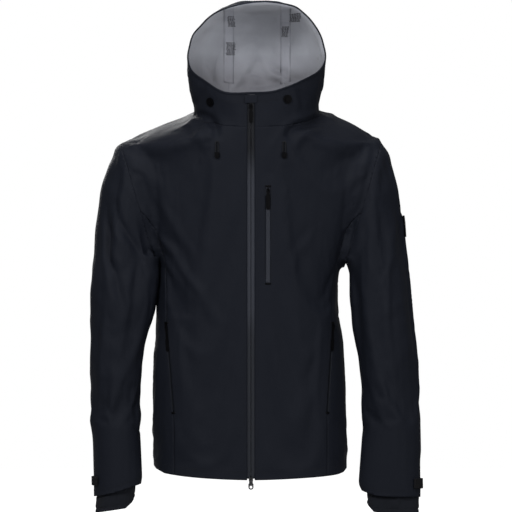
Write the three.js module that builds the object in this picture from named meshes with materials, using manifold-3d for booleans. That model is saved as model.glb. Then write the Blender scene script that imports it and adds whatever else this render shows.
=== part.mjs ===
// A hooded three-layer hardshell jacket with a two-way front zip, one chest pocket and two hand pockets,
// hanging zipped up with its hood raised. Millimetres, +Z up, the front faces -Y and +X is the wearer's left.
// Everything is laid out from the hem (z = 0) and the last lines move the origin to the hanger loop.
import * as THREE from "three";
import { mergeVertices } from "three/addons/utils/BufferGeometryUtils.js";
import Module from "manifold-3d";

const wasm = await Module();
wasm.setup();

// ---- Driving dimensions -------------------------------------------------------------------------------
const FABRIC = 2; // thickness of a shell panel with its facings
const SEAM = 0.6; // gap between two panels at a seam
const HOOD_SEAM = 3; // gap where the hood turns over the collar
const CLEARANCE = 0.6; // between an inner part and the fabric it lies under
const FRONT_Y = -125; // the flat centre front, where the main zip runs
const CHIN_Z = 753; // top edge of the collar at the centre front
const NECK_Z = 716; // neckline at the sides of the neck, rising to the back
const NECK_SLOPE = 0.27;
const HOOD_Z = 775; // line where the hood leaves the collar, falling to the nape
const HOOD_SLOPE = -0.27;
const HOOD_SEAM_X = [-44, 68]; // either side of the hood's centre panel
const BRIM = { y: -64, z: 868 }; // seam of the stiffened brim and the height it starts at
const SHOULDER_Y = 14; // shoulder seam, a little behind the middle
const YOKE_Z = 560; // lower edge of the back yoke
const FAR = 500; // beyond every panel
const OVERRUN = 30; // a cavity runs this far past the edge it leaves open

const ZIP_OPENING = 9; // width of the strip of zip that shows between two fabric edges
const ZIP_TAPE = 18; // full width of a zip tape
const ZIP_SPLIT = 1.4; // gap between the two halves of a chain, where the slider's web runs
const TAPE_Y = [4.6, 5.5]; // depth of a pocket zip's tape and of its chain under the fabric
const CHAIN_Y = [5.5, 7.2];
const MAIN_TAPE_Y = [3.3, 4.2];
const MAIN_CHAIN_Y = [4.2, 5.9];
const CHAIN_HALF = 2; // width of one half of a chain
const SLIDER = { width: 8.2, length: 11, plate: 2.2, under: 1.2, web: 0.7, gap: 0.4 };
const BAIL = { width: 1.8, height: 6, rise: 1.7, bore: 0.95 }; // the arch that holds a puller's pin
const PIN_DROP = 4; // from the top of a slider to the pin
const PIN_RADIUS = 0.6;
const PULL_AXIS = -1.8; // a puller's hinge pin stands this far off the fabric
const PULL_THICK = 2;
const PULL_ARM = [1.3, 2.9]; // an arm of a puller, from the middle outwards
const PULL_NECK_HALF = 2;
const PULLERS = {
  upper: { neck: 5, grip: 24, wide: 7 },
  lower: { neck: 5, grip: 13, wide: 10, eye: 2.6 },
  chest: { neck: 5, grip: 30, wide: 8 },
  hand: { neck: 22, grip: 24, wide: 8 },
};

const MAIN_TAPE_Z = [3, CHIN_Z - 3];
const MAIN_SLIDER_TOP_Z = 728;
const MAIN_SLIDER_LOW_Z = 9;
const RETAINER = { half: 3.6, y: [2, 6.4], z: [-6.5, -2.5] };
const GARAGE = { half: 12, y: [-2.2, -0.4], z: [CHIN_Z - 22, CHIN_Z - 3] };
const CHEST_ZIP = { top: [33, 567], bottom: [33, 380] };
const LEFT_HAND_ZIP = { top: [159, 303], bottom: [148, 130] };
const RIGHT_HAND_ZIP = { top: [-164, 303], bottom: [-150, 130] };

// Body rings from the hem to the crown: height, slope towards the back, half width, sideways centre,
// front edge, widest place, back edge, squareness.
const BODY_RINGS = [
  [-24, 0, 188, -1, FRONT_Y, 0, 111, 2.6],
  [95, 0, 189, -2, FRONT_Y, 0, 112, 2.6],
  [175, 0, 187.5, -3.5, FRONT_Y, 0, 109, 2.6],
  [250, 0, 184.5, -6.5, FRONT_Y, 0, 106, 2.7],
  [310, 0, 178.5, -7, FRONT_Y, 0, 106, 2.8],
  [350, 0, 174, -7, FRONT_Y, 0, 109, 2.8],
  [400, 0, 174.7, -3.3, FRONT_Y, 0, 114, 2.6],
  [430, 0, 177, 0, FRONT_Y, 0, 117, 2.5],
  [480, 0, 190, 0, FRONT_Y, 0, 120, 2.4],
  [540, 0, 205, 0, FRONT_Y, 0, 122, 2.3],
  [600, 0, 222, 0, FRONT_Y, 0, 116, 2.2],
  [638, 0.04, 233, 1, FRONT_Y, 0, 106, 2.2],
  [660, 0.1, 233, 1, FRONT_Y, 0, 97, 2.2],
  [678, 0.15, 212, 2, FRONT_Y, 0, 90, 2.2],
  [693, 0.2, 182, 4, FRONT_Y, -2, 84, 2.2],
  [707, 0.24, 146, 8, FRONT_Y, -6, 80, 2.3],
  [719, 0.27, 117, 10, FRONT_Y, -10, 78, 2.4],
  [734, 0.24, 117, 10, FRONT_Y, -15, 84, 2.4],
  [760, 0.1, 128, 11, FRONT_Y, -33, 100, 2.3],
  [790, 0.04, 134, 11, FRONT_Y, -50, 114, 2.2],
  [820, 0, 136.5, 11, -123, -58, 122, 2.2],
  [850, 0, 131.5, 10.5, -120, -60, 119, 2.2],
  [875, 0, 120, 11, -115, -60, 111, 2.2],
  [898, 0, 101, 12, -108, -58, 95, 2.2],
  [914, 0, 77, 14, -101, -54, 72, 2.2],
  [926.5, 0, 31, 14, -87, -46, 14, 2.2],
];
const RING_POINTS = 40;

// Sleeve stations from inside the shoulder to the cuff: x, y, z of the centre, half width, half depth.
const LEFT_SLEEVE = [
  [118, -4, 664, 26, 34],
  [163, -4, 640, 56, 60],
  [204, -6, 595, 79, 72],
  [227, -10, 545, 67, 70],
  [239, -14, 490, 61, 67],
  [241.5, -20, 430, 62, 64],
  [250, -26, 396, 58, 62],
  [253, -32, 347, 60, 60],
  [258.4, -36, 298, 59.5, 58],
  [267, -38, 250, 55.6, 56],
  [272, -42, 175, 54, 51],
  [273, -48, 94, 55, 46],
  [270, -56, -13, 60.3, 34],
  [269.5, -56, -50, 60.5, 33],
];
const RIGHT_SLEEVE = [
  [-112, -4, 664, 26, 34],
  [-158, -4, 640, 56, 60],
  [-204, -6, 595, 79, 72],
  [-229, -10, 545, 69, 70],
  [-240, -14, 490, 63, 67],
  [-245, -26, 430, 62.5, 64],
  [-249.5, -42, 385, 61.5, 63],
  [-250.5, -47, 345, 61, 61],
  [-253.5, -47, 318, 58.5, 59],
  [-257.5, -46, 288, 54.5, 58],
  [-260, -45, 235, 50.5, 56],
  [-262.3, -47, 152, 46.8, 52],
  [-262.3, -50, 94, 45.8, 49],
  [-258.7, -56, -9, 46.8, 42],
  [-258.5, -56, -50, 47.5, 40],
];
const SLEEVE_POINTS = 18;
const CUFF_Y = -56; // middle of the cuffs, front to back
const ARMHOLE = { x: 219.3, z: 537, angle: 0.293, half: 141 }; // middle of the armhole line and its lean

// Inner cuffs: the same five figures a station.
const LEFT_INNER_CUFF = [
  [272, -55, 20, 51, 27],
  [275.7, -56, -25, 50.7, 26],
  [275.7, -57, -80, 50, 24],
];
const RIGHT_INNER_CUFF = [
  [-260, -55, 20, 39, 35],
  [-263.3, -56, -25, 38.4, 33],
  [-264, -57, -80, 37.5, 30],
];
// Lower edges seen from the front: x and z.
const LEFT_CUFF_LINE = [[201, -17], [209, -20], [235, -29], [262, -33], [345, -35]];
const RIGHT_CUFF_LINE = [[-330, -38], [-301, -32.5], [-265, -25], [-211, -8], [-202, -5]];
const LEFT_INNER_LINE = [[210, -20], [227, -50], [236, -62], [250, -64.5], [345, -66]];
const RIGHT_INNER_LINE = [[-330, -66], [-301, -64.8], [-243, -56], [-231, -43], [-215, -10]];
const INNER_CUFF_THICK = 2.4;
const HEM_LINE = [
  [-200, 40],
  [-188, 27],
  [-172, 17],
  [-100, 5],
  [0, 0],
  [100, 4],
  [172, 14],
  [188, 24],
  [200, 38],
];
// The edge of the face opening from the side, y and height over the chin: up past the temple to the brim.
const FACE_LINE = [
  [-126, 0],
  [-117, 8],
  [-103, 24],
  [-84, 40],
  [-64, 62],
  [-55, 96],
  [-58, 134],
  [-76, 170],
  [-92, 190],
];
// The line between front, side and back panels: from the armhole down to the top of the pocket zip.
const SIDE_LINE = [
  [222, 525],
  [204, 510],
  [184, 482],
  [175, 450],
  [166, 415],
];
// The last stretch of the shoulder seam, which leans out to the top of the armhole.
const SHOULDER_END = [
  [228, 625],
  [228, 700],
  [262, 700],
  [255, 650],
  [247, 625],
];

// Tabs on the cuffs: height, and how far out their root at the back and free end at the front start.
const TABS = {
  left: { z: [-18, 2], root: 290, free: 316 },
  right: { z: [-12, 6], root: 268, free: 297 },
};
const TAB_LAYER = [2.2, 4]; // distances from the sleeve
const PATCH_LAYER = [0.5, 1.5];
const BADGE_LAYER = [0.5, 1.6];
const BADGE_BOX = [285, 330, -26, 2, 470, 512];

// Inside parts: depth under the outer surface, and the span they cover.
const STORM_FLAP = { x: [2, 22], depth: [8.2, 9.4], z: [24, CHIN_Z - 8] };
const CHEST_BAG = { x: [34, 118], depth: [9.2, 11.2], z: [386, 560] };
const HAND_BAG = { left: [50, 174], right: [-176, -50], depth: [10.5, 12.5], z: [80, 286] };
const HEM_FACING = { depth: [6.6, 7.6], z: [34, 58] };
const HEM_CORD = { depth: [3, 5.6], z: [44, 47] };
const HEM_LOCK = { left: [168, 178], right: [-181, -171], y: [-7, 9], z: [38, 52], depth: 8.4 };

// The loop hangs inside the back of the neck: two legs and a flat bar that rests on a hook.
const LOOP = { half: 32, thick: 1.6, high: 9, leg: 4, z: 722, y: 70 };
const LABEL = { half: 22, thick: 1.2, high: 36, drop: 4 };

// Hood cords: where the locks and the cord ends stand on the front, x and z.
const FRONT_LOCKS = { left_hood: [70, 736], right_hood: [-78, 731] };
const CORD_EYELETS = { left: [64, 655], right: [-65, 655] };
const REAR_LOCK = [12, 122.4, 812];
const LOCK = { ring: 8.5, bore: 5.6, button: 5.1, y: [-3.4, -1.2], buttonY: [-5.2, -3.2] };
const CORD_RADIUS = 1.1;
const CORD_LOOP = [[-3, -1.6, 0], [-3.6, -3, -8], [-2.4, -3.2, -19], [2.4, -3.2, -19], [3.6, -3, -8], [3, -1.6, 0]];

// ---- Materials ----------------------------------------------------------------------------------------
const finish = (color, roughness, metalness = 0) =>
  new THREE.MeshStandardMaterial({ color, roughness, metalness });
const SHELL = finish(0x14161b, 0.62);
const LINING = finish(0x7b7c84, 0.7);
const TAPE = finish(0x34363e, 0.4);
const TRIM = finish(0x0d0e10, 0.5);
const PLASTIC = finish(0x101113, 0.35);
const METAL = finish(0xb9babc, 0.3, 0.9);
const BADGE = finish(0xd8d9da, 0.5);

// ---- Solids -------------------------------------------------------------------------------------------
function solidOf(geometry) {
  const bare = geometry.clone();
  for (const name of Object.keys(bare.attributes)) if (name !== "position") bare.deleteAttribute(name);
  const merged = mergeVertices(bare, 1e-4);
  return new wasm.Manifold(
    new wasm.Mesh({
      numProp: 3,
      vertProperties: merged.attributes.position.array,
      triVerts: new Uint32Array(merged.index.array),
    }),
  );
}

function geometryOf(solid) {
  const mesh = solid.getMesh();
  const geometry = new THREE.BufferGeometry();
  geometry.setAttribute("position", new THREE.BufferAttribute(mesh.vertProperties, 3));
  geometry.setIndex(new THREE.BufferAttribute(mesh.triVerts, 1));
  geometry.computeVertexNormals();
  return geometry;
}

const union = (solids) => solids.reduce((all, solid) => all.add(solid));

function box(x0, x1, y0, y1, z0, z1) {
  const geometry = new THREE.BoxGeometry(x1 - x0, y1 - y0, z1 - z0);
  return solidOf(geometry.translate((x0 + x1) / 2, (y0 + y1) / 2, (z0 + z1) / 2));
}

// A cylinder lying along X.
function crossPin(radius, x0, x1, y, z, sides = 8) {
  const geometry = new THREE.CylinderGeometry(radius, radius, x1 - x0, sides);
  return solidOf(geometry.rotateZ(Math.PI / 2).translate((x0 + x1) / 2, y, z));
}

// A cylinder standing along Y, from y0 to y1.
function disc(radius, y0, y1, sides = 16) {
  return solidOf(new THREE.CylinderGeometry(radius, radius, y1 - y0, sides).translate(0, (y0 + y1) / 2, 0));
}

// An outline in the XZ plane with thickness from y0 to y1.
function plate(outline, y0, y1) {
  const geometry = new THREE.ExtrudeGeometry(outline, { depth: y1 - y0, bevelEnabled: false, curveSegments: 6 });
  return solidOf(geometry.rotateX(Math.PI / 2).translate(0, y1, 0));
}

const vectors = (points) => points.map(([a, b]) => new THREE.Vector2(a, b));
const outlineOf = (points) => new THREE.Shape(vectors(points));
const smoothLine = (points, count) =>
  new THREE.SplineCurve(vectors(points)).getPoints(count).map(({ x, y }) => [x, y]);

// A side profile in the YZ plane, carried across the whole width.
function sideProfile(points, x0 = -FAR, x1 = FAR) {
  const geometry = new THREE.ExtrudeGeometry(outlineOf(points), { depth: x1 - x0, bevelEnabled: false });
  const toWorld = new THREE.Matrix4().set(0, 0, 1, x0, 1, 0, 0, 0, 0, 1, 0, 0, 0, 0, 0, 1);
  return solidOf(geometry.applyMatrix4(toWorld));
}

// Joins closed rings of equal length into a solid with flat ends.
function loft(rings) {
  const count = rings[0].length;
  const centre = (ring) =>
    ring.reduce((sum, point) => sum.add(point), new THREE.Vector3()).divideScalar(count);
  const points = [...rings.flat(), centre(rings[0]), centre(rings.at(-1))];
  const [bottom, top] = [points.length - 2, points.length - 1];
  const index = [];
  for (let i = 0; i < count; i++) {
    const next = (i + 1) % count;
    for (let r = 0; r + 1 < rings.length; r++) {
      const [a, b] = [r * count + i, r * count + next];
      const [c, d] = [a + count, b + count];
      index.push(a, b, d, a, d, c);
    }
    const last = (rings.length - 1) * count;
    index.push(bottom, next, i, top, last + i, last + next);
  }
  const geometry = new THREE.BufferGeometry().setFromPoints(points);
  geometry.setIndex(index);
  const solid = new wasm.Manifold(
    new wasm.Mesh({
      numProp: 3,
      vertProperties: geometry.attributes.position.array,
      triVerts: new Uint32Array(index),
    }),
  );
  if (solid.volume() > 0) return solid;
  return loft([...rings].reverse());
}

// ---- Body, sleeves and their shells -------------------------------------------------------------------
const signedPower = (value, power) => Math.sign(value) * Math.abs(value) ** power;

// A point of a body ring at angle t, drawn in from the outside by inset.
function bodyPoint([z, slope, half, centre, front, widest, back, square], t, inset) {
  const depth = Math.sin(t) < 0 ? widest - front : back - widest;
  const x = centre + (half - inset) * signedPower(Math.cos(t), 2 / square);
  const y = widest + (depth - inset) * signedPower(Math.sin(t), 2 / square);
  return new THREE.Vector3(x, y, z + slope * y);
}

function bodySolid(inset, ringPoints = RING_POINTS) {
  const angles = Array.from({ length: ringPoints }, (_, i) => (2 * Math.PI * i) / ringPoints);
  const rings = BODY_RINGS.map((ring, i) => {
    const lowered = [...ring];
    if (inset && i === 0) lowered[0] -= OVERRUN;
    if (i === BODY_RINGS.length - 1) lowered[0] -= inset;
    return angles.map((t) => bodyPoint(lowered, t, inset));
  });
  return loft(rings);
}

// Oval rings round a row of stations, drawn in by inset, with the end rings moved out by overrun.
function tubeRings(stations, inset, overrun = [0, 0]) {
  const centres = stations.map(([x, y, z]) => new THREE.Vector3(x, y, z));
  const last = stations.length - 1;
  return stations.map(([, , , half, depth], i) => {
    const along = centres[Math.min(i + 1, last)].clone().sub(centres[Math.max(i - 1, 0)]);
    along.setY(0).normalize();
    const across = new THREE.Vector3(-along.z, 0, along.x);
    const before = i === 0 ? overrun[0] : 0;
    const after = i === last ? overrun[1] : 0;
    return Array.from({ length: SLEEVE_POINTS }, (_, k) => {
      const t = (2 * Math.PI * k) / SLEEVE_POINTS;
      const point = centres[i].clone().addScaledVector(along, after - before);
      point.addScaledVector(across, (half - inset) * Math.cos(t));
      return point.setY(point.y + (depth - inset) * Math.sin(t));
    });
  });
}

const plainTube = (stations, inset) => loft(tubeRings(stations, inset));
const sleeveSolid = (stations, inset) => loft(tubeRings(stations, inset, [0, inset > 0 ? OVERRUN : 0]));

function openTube(stations, wall) {
  return plainTube(stations, 0).subtract(loft(tubeRings(stations, wall, [OVERRUN, OVERRUN])));
}

// Everything below a line seen from the front, from left to right.
function below(line) {
  const corners = [[line.at(-1)[0], -150], [line[0][0], -150]];
  return plate(outlineOf([...line, ...corners]), -FAR, FAR);
}

// The room in front of the face, up to the edge of the hood.
function faceOpening() {
  const rim = smoothLine(FACE_LINE.map(([y, rise]) => [y, CHIN_Z + rise]), 14);
  return sideProfile([...rim, [-220, CHIN_Z + 190], [-220, CHIN_Z]]);
}

const outerShape = (inset) =>
  union([bodySolid(inset), sleeveSolid(LEFT_SLEEVE, inset), sleeveSolid(RIGHT_SLEEVE, inset)]);
const cutAway = union([
  below(smoothLine(HEM_LINE, 16)),
  faceOpening(),
  below(LEFT_CUFF_LINE),
  below(RIGHT_CUFF_LINE),
]);
const wholeShell = outerShape(0).subtract(outerShape(FABRIC)).subtract(cutAway);

// A thin layer that follows the inside of the body, between two depths, kept where region is.
const LINING_POINTS = 24;
const bodyLayer = (outside, inside, region) =>
  bodySolid(outside, LINING_POINTS).subtract(bodySolid(inside, LINING_POINTS)).intersect(region);

// ---- Places on the body's surface ---------------------------------------------------------------------
const bodySkin = new THREE.Mesh(geometryOf(bodySolid(0)), new THREE.MeshBasicMaterial());

// The point of the front surface at x and height z.
function frontPoint(x, z) {
  const ray = new THREE.Raycaster(new THREE.Vector3(x, -FAR, z), new THREE.Vector3(0, 1, 0));
  return ray.intersectObject(bodySkin)[0].point;
}

// A group that stands on the front surface at (x, z): its Z runs up from the point below it on the surface
// and its -Y points out of the fabric halfway between the two.
function onFront([x, z], [lowX, lowZ] = [x, z - 20]) {
  const point = frontPoint(x, z);
  const up = point.clone().sub(frontPoint(lowX, lowZ)).normalize();
  const [middleX, middleZ] = [(x + lowX) / 2, (z + lowZ) / 2];
  const across = frontPoint(middleX + 4, middleZ).sub(frontPoint(middleX - 4, middleZ)).normalize();
  const inward = new THREE.Vector3().crossVectors(up, across).normalize();
  across.crossVectors(inward, up);
  const group = new THREE.Group();
  group.matrixAutoUpdate = false;
  group.matrix.makeBasis(across, inward, up).setPosition(point);
  return group;
}

// A solid made in a group's own frame, carried to the jacket's frame.
const placed = (solid, group) => solidOf(geometryOf(solid).applyMatrix4(group.matrix));

const jacket = new THREE.Group();

function addMesh(parent, name, solid, material) {
  const mesh = new THREE.Mesh(geometryOf(solid), material);
  mesh.name = name;
  parent.add(mesh);
  return mesh;
}

// ---- Zips ---------------------------------------------------------------------------------------------
// Each is made in the frame of its group: Z up the zip from its top end, -Y out of the fabric.
// A span from the middle outwards, on the wearer's left (side 1) or right (side -1).
const onSide = (side, near, far) => (side > 0 ? [near, far] : [-far, -near]);

function tapeHalf(side, zLow, zHigh, y = TAPE_Y, chain = CHAIN_Y) {
  const inner = ZIP_SPLIT / 2;
  const tape = box(...onSide(side, inner, ZIP_TAPE / 2), ...y, zLow, zHigh);
  return tape.add(box(...onSide(side, inner, inner + CHAIN_HALF), y[1] - 0.1, chain[1], zLow, zHigh));
}

// Two halves joined by a bar at either end.
function pocketTape(length) {
  const halves = [-1, 1].map((side) => tapeHalf(side, -length, 0));
  const half = ZIP_TAPE / 2;
  const ends = [[-length - 6, -length + 0.1], [-0.1, 6]];
  const bars = ends.map((z) => box(-half, half, ...TAPE_Y, ...z));
  return union([...halves, ...bars]);
}

// Two plates joined by a web that runs between the chain halves, and a bail for the puller's pin.
function slider(topZ, tapeY = TAPE_Y[0], chainY = CHAIN_Y[1]) {
  const { width, length, plate: thick, under, web, gap } = SLIDER;
  const [half, low] = [width / 2, topZ - length];
  const face = tapeY - gap;
  const back = chainY + gap;
  const pinZ = topZ - PIN_DROP;
  const bail = BAIL.width / 2;
  return union([
    box(-half, half, face - thick, face, low, topZ),
    box(-web / 2, web / 2, face - 0.1, back + 0.1, low + 3, topZ - 1),
    box(-half, half, back, back + under, low, topZ),
    box(-bail, bail, PULL_AXIS - BAIL.rise, face - thick + 0.1, pinZ - BAIL.height / 2, pinZ + BAIL.height / 2),
  ]).subtract(crossPin(BAIL.bore, -2, 2, PULL_AXIS, pinZ));
}

// A puller hangs from a pin through the bail: two short arms, a neck and a grip.
function puller(topZ, { neck, grip, wide, eye = 0 }) {
  const pinZ = topZ - PIN_DROP;
  const y = [PULL_AXIS - PULL_THICK / 2, PULL_AXIS + PULL_THICK / 2];
  const outer = PULL_ARM[1];
  const arms = [-1, 1].map((side) => box(...onSide(side, ...PULL_ARM), ...y, pinZ - 6, pinZ + 1));
  const neckEnd = pinZ - 5 - neck;
  const half = wide / 2;
  const middleZ = neckEnd - grip + half;
  const outline = new THREE.Shape();
  outline.moveTo(-PULL_NECK_HALF, neckEnd + 1);
  outline.lineTo(-half, neckEnd - 2);
  outline.lineTo(-half, middleZ);
  outline.absarc(0, middleZ, half, Math.PI, 2 * Math.PI, false);
  outline.lineTo(half, neckEnd - 2);
  outline.lineTo(PULL_NECK_HALF, neckEnd + 1);
  outline.closePath();
  if (eye) {
    const hole = new THREE.Path();
    hole.absarc(0, middleZ, eye, 0, 2 * Math.PI, true);
    outline.holes.push(hole);
  }
  return union([
    ...arms,
    crossPin(PIN_RADIUS, 0.1 - outer, outer - 0.1, PULL_AXIS, pinZ),
    box(-outer, outer, ...y, pinZ - 8.5, pinZ - 5),
    box(-PULL_NECK_HALF, PULL_NECK_HALF, ...y, neckEnd, pinZ - 8),
    plate(outline, ...y),
  ]);
}

const windowFor = (length) => box(-ZIP_OPENING / 2, ZIP_OPENING / 2, -30, 12, -length - 1, 1);

function pocketZip(name, group, length, pull) {
  const insideShell = bodySolid(FABRIC + CLEARANCE);
  addMesh(jacket, `${name}_zip_tape`, placed(pocketTape(length), group).intersect(insideShell), TAPE);
  addMesh(group, `${name}_zip_slider`, slider(-0.5), PLASTIC);
  addMesh(group, `${name}_zip_puller`, puller(-0.5, pull), TRIM);
}

const POCKET_ZIPS = [
  ["chest", CHEST_ZIP, PULLERS.chest],
  ["left_pocket", LEFT_HAND_ZIP, PULLERS.hand],
  ["right_pocket", RIGHT_HAND_ZIP, PULLERS.hand],
].map(([name, line, pull]) => {
  const length = frontPoint(...line.top).distanceTo(frontPoint(...line.bottom));
  return { name, pull, length, group: onFront(line.top, line.bottom) };
});

function addPocketZips() {
  for (const { name, pull, length, group } of POCKET_ZIPS) {
    pocketZip(name, group, length, pull);
    jacket.add(group);
  }
}

function addMainZip() {
  const group = new THREE.Group();
  group.position.set(0, FRONT_Y, 0);
  for (const [name, side] of [["left", 1], ["right", -1]]) {
    const half = tapeHalf(side, ...MAIN_TAPE_Z, MAIN_TAPE_Y, MAIN_CHAIN_Y);
    addMesh(group, `main_zip_${name}_tape`, half, TAPE);
  }
  const sliders = [
    ["upper", MAIN_SLIDER_TOP_Z, TRIM],
    ["lower", MAIN_SLIDER_LOW_Z, METAL],
  ];
  for (const [name, topZ, material] of sliders) {
    addMesh(group, `main_${name}_slider`, slider(topZ, MAIN_TAPE_Y[0], MAIN_CHAIN_Y[1]), PLASTIC);
    addMesh(group, `main_${name}_puller`, puller(topZ, PULLERS[name]), material);
  }
  const retainer = box(-RETAINER.half, RETAINER.half, ...RETAINER.y, ...RETAINER.z);
  addMesh(group, "main_zip_retainer_box", retainer, PLASTIC);
  addMesh(group, "main_zip_garage", box(-GARAGE.half, GARAGE.half, ...GARAGE.y, ...GARAGE.z), TRIM);
  jacket.add(group);
}

// ---- Shell panels -------------------------------------------------------------------------------------
// A slab across the whole jacket whose middle plane is z = height + slope * y.
function slopedBlade(height, slope, thick) {
  const line = (y, offset) => [y, height + slope * y + offset];
  return sideProfile([line(-300, -thick / 2), line(300, -thick / 2), line(300, thick / 2), line(-300, thick / 2)]);
}

// Only where the neck and hood are, so that it misses the shoulders and sleeves.
const aboveShoulders = box(-170, 180, -FAR, FAR, 660, 960);

function armholeBlade(side) {
  const geometry = new THREE.BoxGeometry(SEAM, 2 * FAR, 2 * ARMHOLE.half);
  geometry.rotateY(ARMHOLE.angle * side).translate(ARMHOLE.x * side, 0, ARMHOLE.z);
  return solidOf(geometry);
}

// Down the side line, through the pocket zip and on to the hem.
function sideSeamBlade(side) {
  const zip = side > 0 ? LEFT_HAND_ZIP : RIGHT_HAND_ZIP;
  const [topX, lowX] = [Math.abs(zip.top[0]), Math.abs(zip.bottom[0])];
  const line = [...SIDE_LINE, [topX, 350], [topX, zip.top[1]], [lowX, zip.bottom[1]], [148, -60]];
  const front = line.map(([x, z]) => [x * side, z]);
  const back = front.map(([x, z]) => [x + SEAM, z]).reverse();
  return plate(outlineOf([...front, ...back]), -FAR, FAR);
}

function shoulderEnd(side) {
  const outline = SHOULDER_END.map(([x, z]) => [x * side, z]);
  return plate(outlineOf(outline), SHOULDER_Y, SHOULDER_Y + SEAM);
}

function seamBlades() {
  const half = ZIP_OPENING / 2;
  const shoulderTop = NECK_Z + NECK_SLOPE * SHOULDER_Y;
  const belowHood = sideProfile([[-200, 0], [200, 0], [200, HOOD_Z - 54], [-200, HOOD_Z + 54]]);
  const hoodSeams = HOOD_SEAM_X.map((x) => box(x, x + SEAM, BRIM.y, FAR, HOOD_Z - 60, 960));
  const yokeSpan = box(-227, 227, -FAR, FAR, 0, 900);
  return union([
    box(-half, half, -FAR, 0, -60, CHIN_Z + 20),
    slopedBlade(NECK_Z, NECK_SLOPE, SEAM).intersect(aboveShoulders),
    slopedBlade(HOOD_Z, HOOD_SLOPE, HOOD_SEAM).intersect(aboveShoulders),
    ...hoodSeams.map((blade) => blade.subtract(belowHood)),
    box(-FAR, FAR, BRIM.y, BRIM.y + SEAM, BRIM.z, 960),
    box(-230, 230, SHOULDER_Y, SHOULDER_Y + SEAM, 520, shoulderTop),
    box(-FAR, FAR, SHOULDER_Y, FAR, YOKE_Z, YOKE_Z + SEAM).intersect(yokeSpan),
    ...[-1, 1].flatMap((side) => [shoulderEnd(side), armholeBlade(side), sideSeamBlade(side)]),
  ]);
}

// The separate pieces that the seams leave, each found by the place its middle is nearest to.
function panelPieces() {
  const windows = POCKET_ZIPS.map(({ length, group }) => placed(windowFor(length), group));
  return wholeShell.subtract(union([seamBlades(), ...windows])).decompose();
}

const PANELS = {
  front_left_panel: [120, -70, 330],
  front_right_panel: [-120, -70, 330],
  left_side_panel: [172, 0, 240],
  right_side_panel: [-172, 0, 240],
  back_panel: [0, 90, 280],
  back_yoke: [0, 60, 640],
  collar: [10, -15, 740],
  hood_centre_panel: [12, 30, 840],
  hood_left_panel: [110, 20, 830],
  hood_right_panel: [-85, 20, 830],
  hood_brim: [12, -75, 900],
  left_sleeve: [258, -16, 314],
  right_sleeve: [-248, -23, 315],
};

function middleOf(solid) {
  const { min, max } = solid.boundingBox();
  return new THREE.Vector3(...min).add(new THREE.Vector3(...max)).multiplyScalar(0.5);
}

function addPanels() {
  const pieces = panelPieces();
  for (const [name, place] of Object.entries(PANELS)) {
    const target = new THREE.Vector3(...place);
    const distances = pieces.map((piece) => middleOf(piece).distanceTo(target));
    addMesh(jacket, name, pieces[distances.indexOf(Math.min(...distances))], SHELL);
  }
}

// ---- Parts on the sleeves -----------------------------------------------------------------------------
// The outer side of a cuff from the tab's root at the back, round to its free end at the front.
function cuffTabRegion(side, z0, z1, rootX, freeX) {
  const back = box(...onSide(side, rootX, 345), CUFF_Y, 60, z0, z1);
  return back.add(box(...onSide(side, freeX, 345), -120, CUFF_Y + 0.1, z0, z1));
}

// A layer outside a sleeve, between two distances from it.
const sleeveLayer = (stations, [near, far], region) =>
  plainTube(stations, -far).subtract(plainTube(stations, -near)).intersect(region);

function addSleeveParts() {
  const sides = [
    ["left", 1, LEFT_SLEEVE, LEFT_INNER_CUFF, LEFT_INNER_LINE],
    ["right", -1, RIGHT_SLEEVE, RIGHT_INNER_CUFF, RIGHT_INNER_LINE],
  ];
  for (const [name, side, sleeve, cuff, line] of sides) {
    const { z, root, free } = TABS[name];
    const tabRegion = cuffTabRegion(side, ...z, root, free);
    const patchRegion = cuffTabRegion(side, z[0] + 3, z[1] - 3, root + 6, free + 3);
    addMesh(jacket, `${name}_inner_cuff`, openTube(cuff, INNER_CUFF_THICK).subtract(below(line)), TRIM);
    addMesh(jacket, `${name}_cuff_tab`, sleeveLayer(sleeve, TAB_LAYER, tabRegion), TRIM);
    addMesh(jacket, `${name}_cuff_loop_patch`, sleeveLayer(sleeve, PATCH_LAYER, patchRegion), TRIM);
  }
  addMesh(jacket, "sleeve_badge", sleeveLayer(LEFT_SLEEVE, BADGE_LAYER, box(...BADGE_BOX)), BADGE);
}

// ---- Inside parts -------------------------------------------------------------------------------------
function addInsideParts() {
  const flapY = STORM_FLAP.depth.map((depth) => FRONT_Y + depth);
  addMesh(jacket, "storm_flap", box(...STORM_FLAP.x, ...flapY, ...STORM_FLAP.z), LINING);
  const chestRegion = box(...CHEST_BAG.x, -FAR, -40, ...CHEST_BAG.z);
  addMesh(jacket, "chest_pocket_bag", bodyLayer(...CHEST_BAG.depth, chestRegion), LINING);
  for (const name of ["left", "right"]) {
    const bagRegion = box(...HAND_BAG[name], -FAR, -20, ...HAND_BAG.z);
    addMesh(jacket, `${name}_pocket_bag`, bodyLayer(...HAND_BAG.depth, bagRegion), LINING);
    const lock = box(...HEM_LOCK[name], ...HEM_LOCK.y, ...HEM_LOCK.z);
    const insideCord = bodySolid(HEM_LOCK.depth, LINING_POINTS);
    addMesh(jacket, `${name}_hem_cord_lock`, lock.intersect(insideCord), PLASTIC);
  }
  const openFront = box(-26, 26, -FAR, 0, -60, 60);
  const hemBand = ({ depth, z }) =>
    bodyLayer(...depth, box(-FAR, FAR, -FAR, FAR, ...z)).subtract(openFront);
  addMesh(jacket, "hem_facing", hemBand(HEM_FACING), LINING);
  addMesh(jacket, "hem_drawcord", hemBand(HEM_CORD), TRIM);
}

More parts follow.
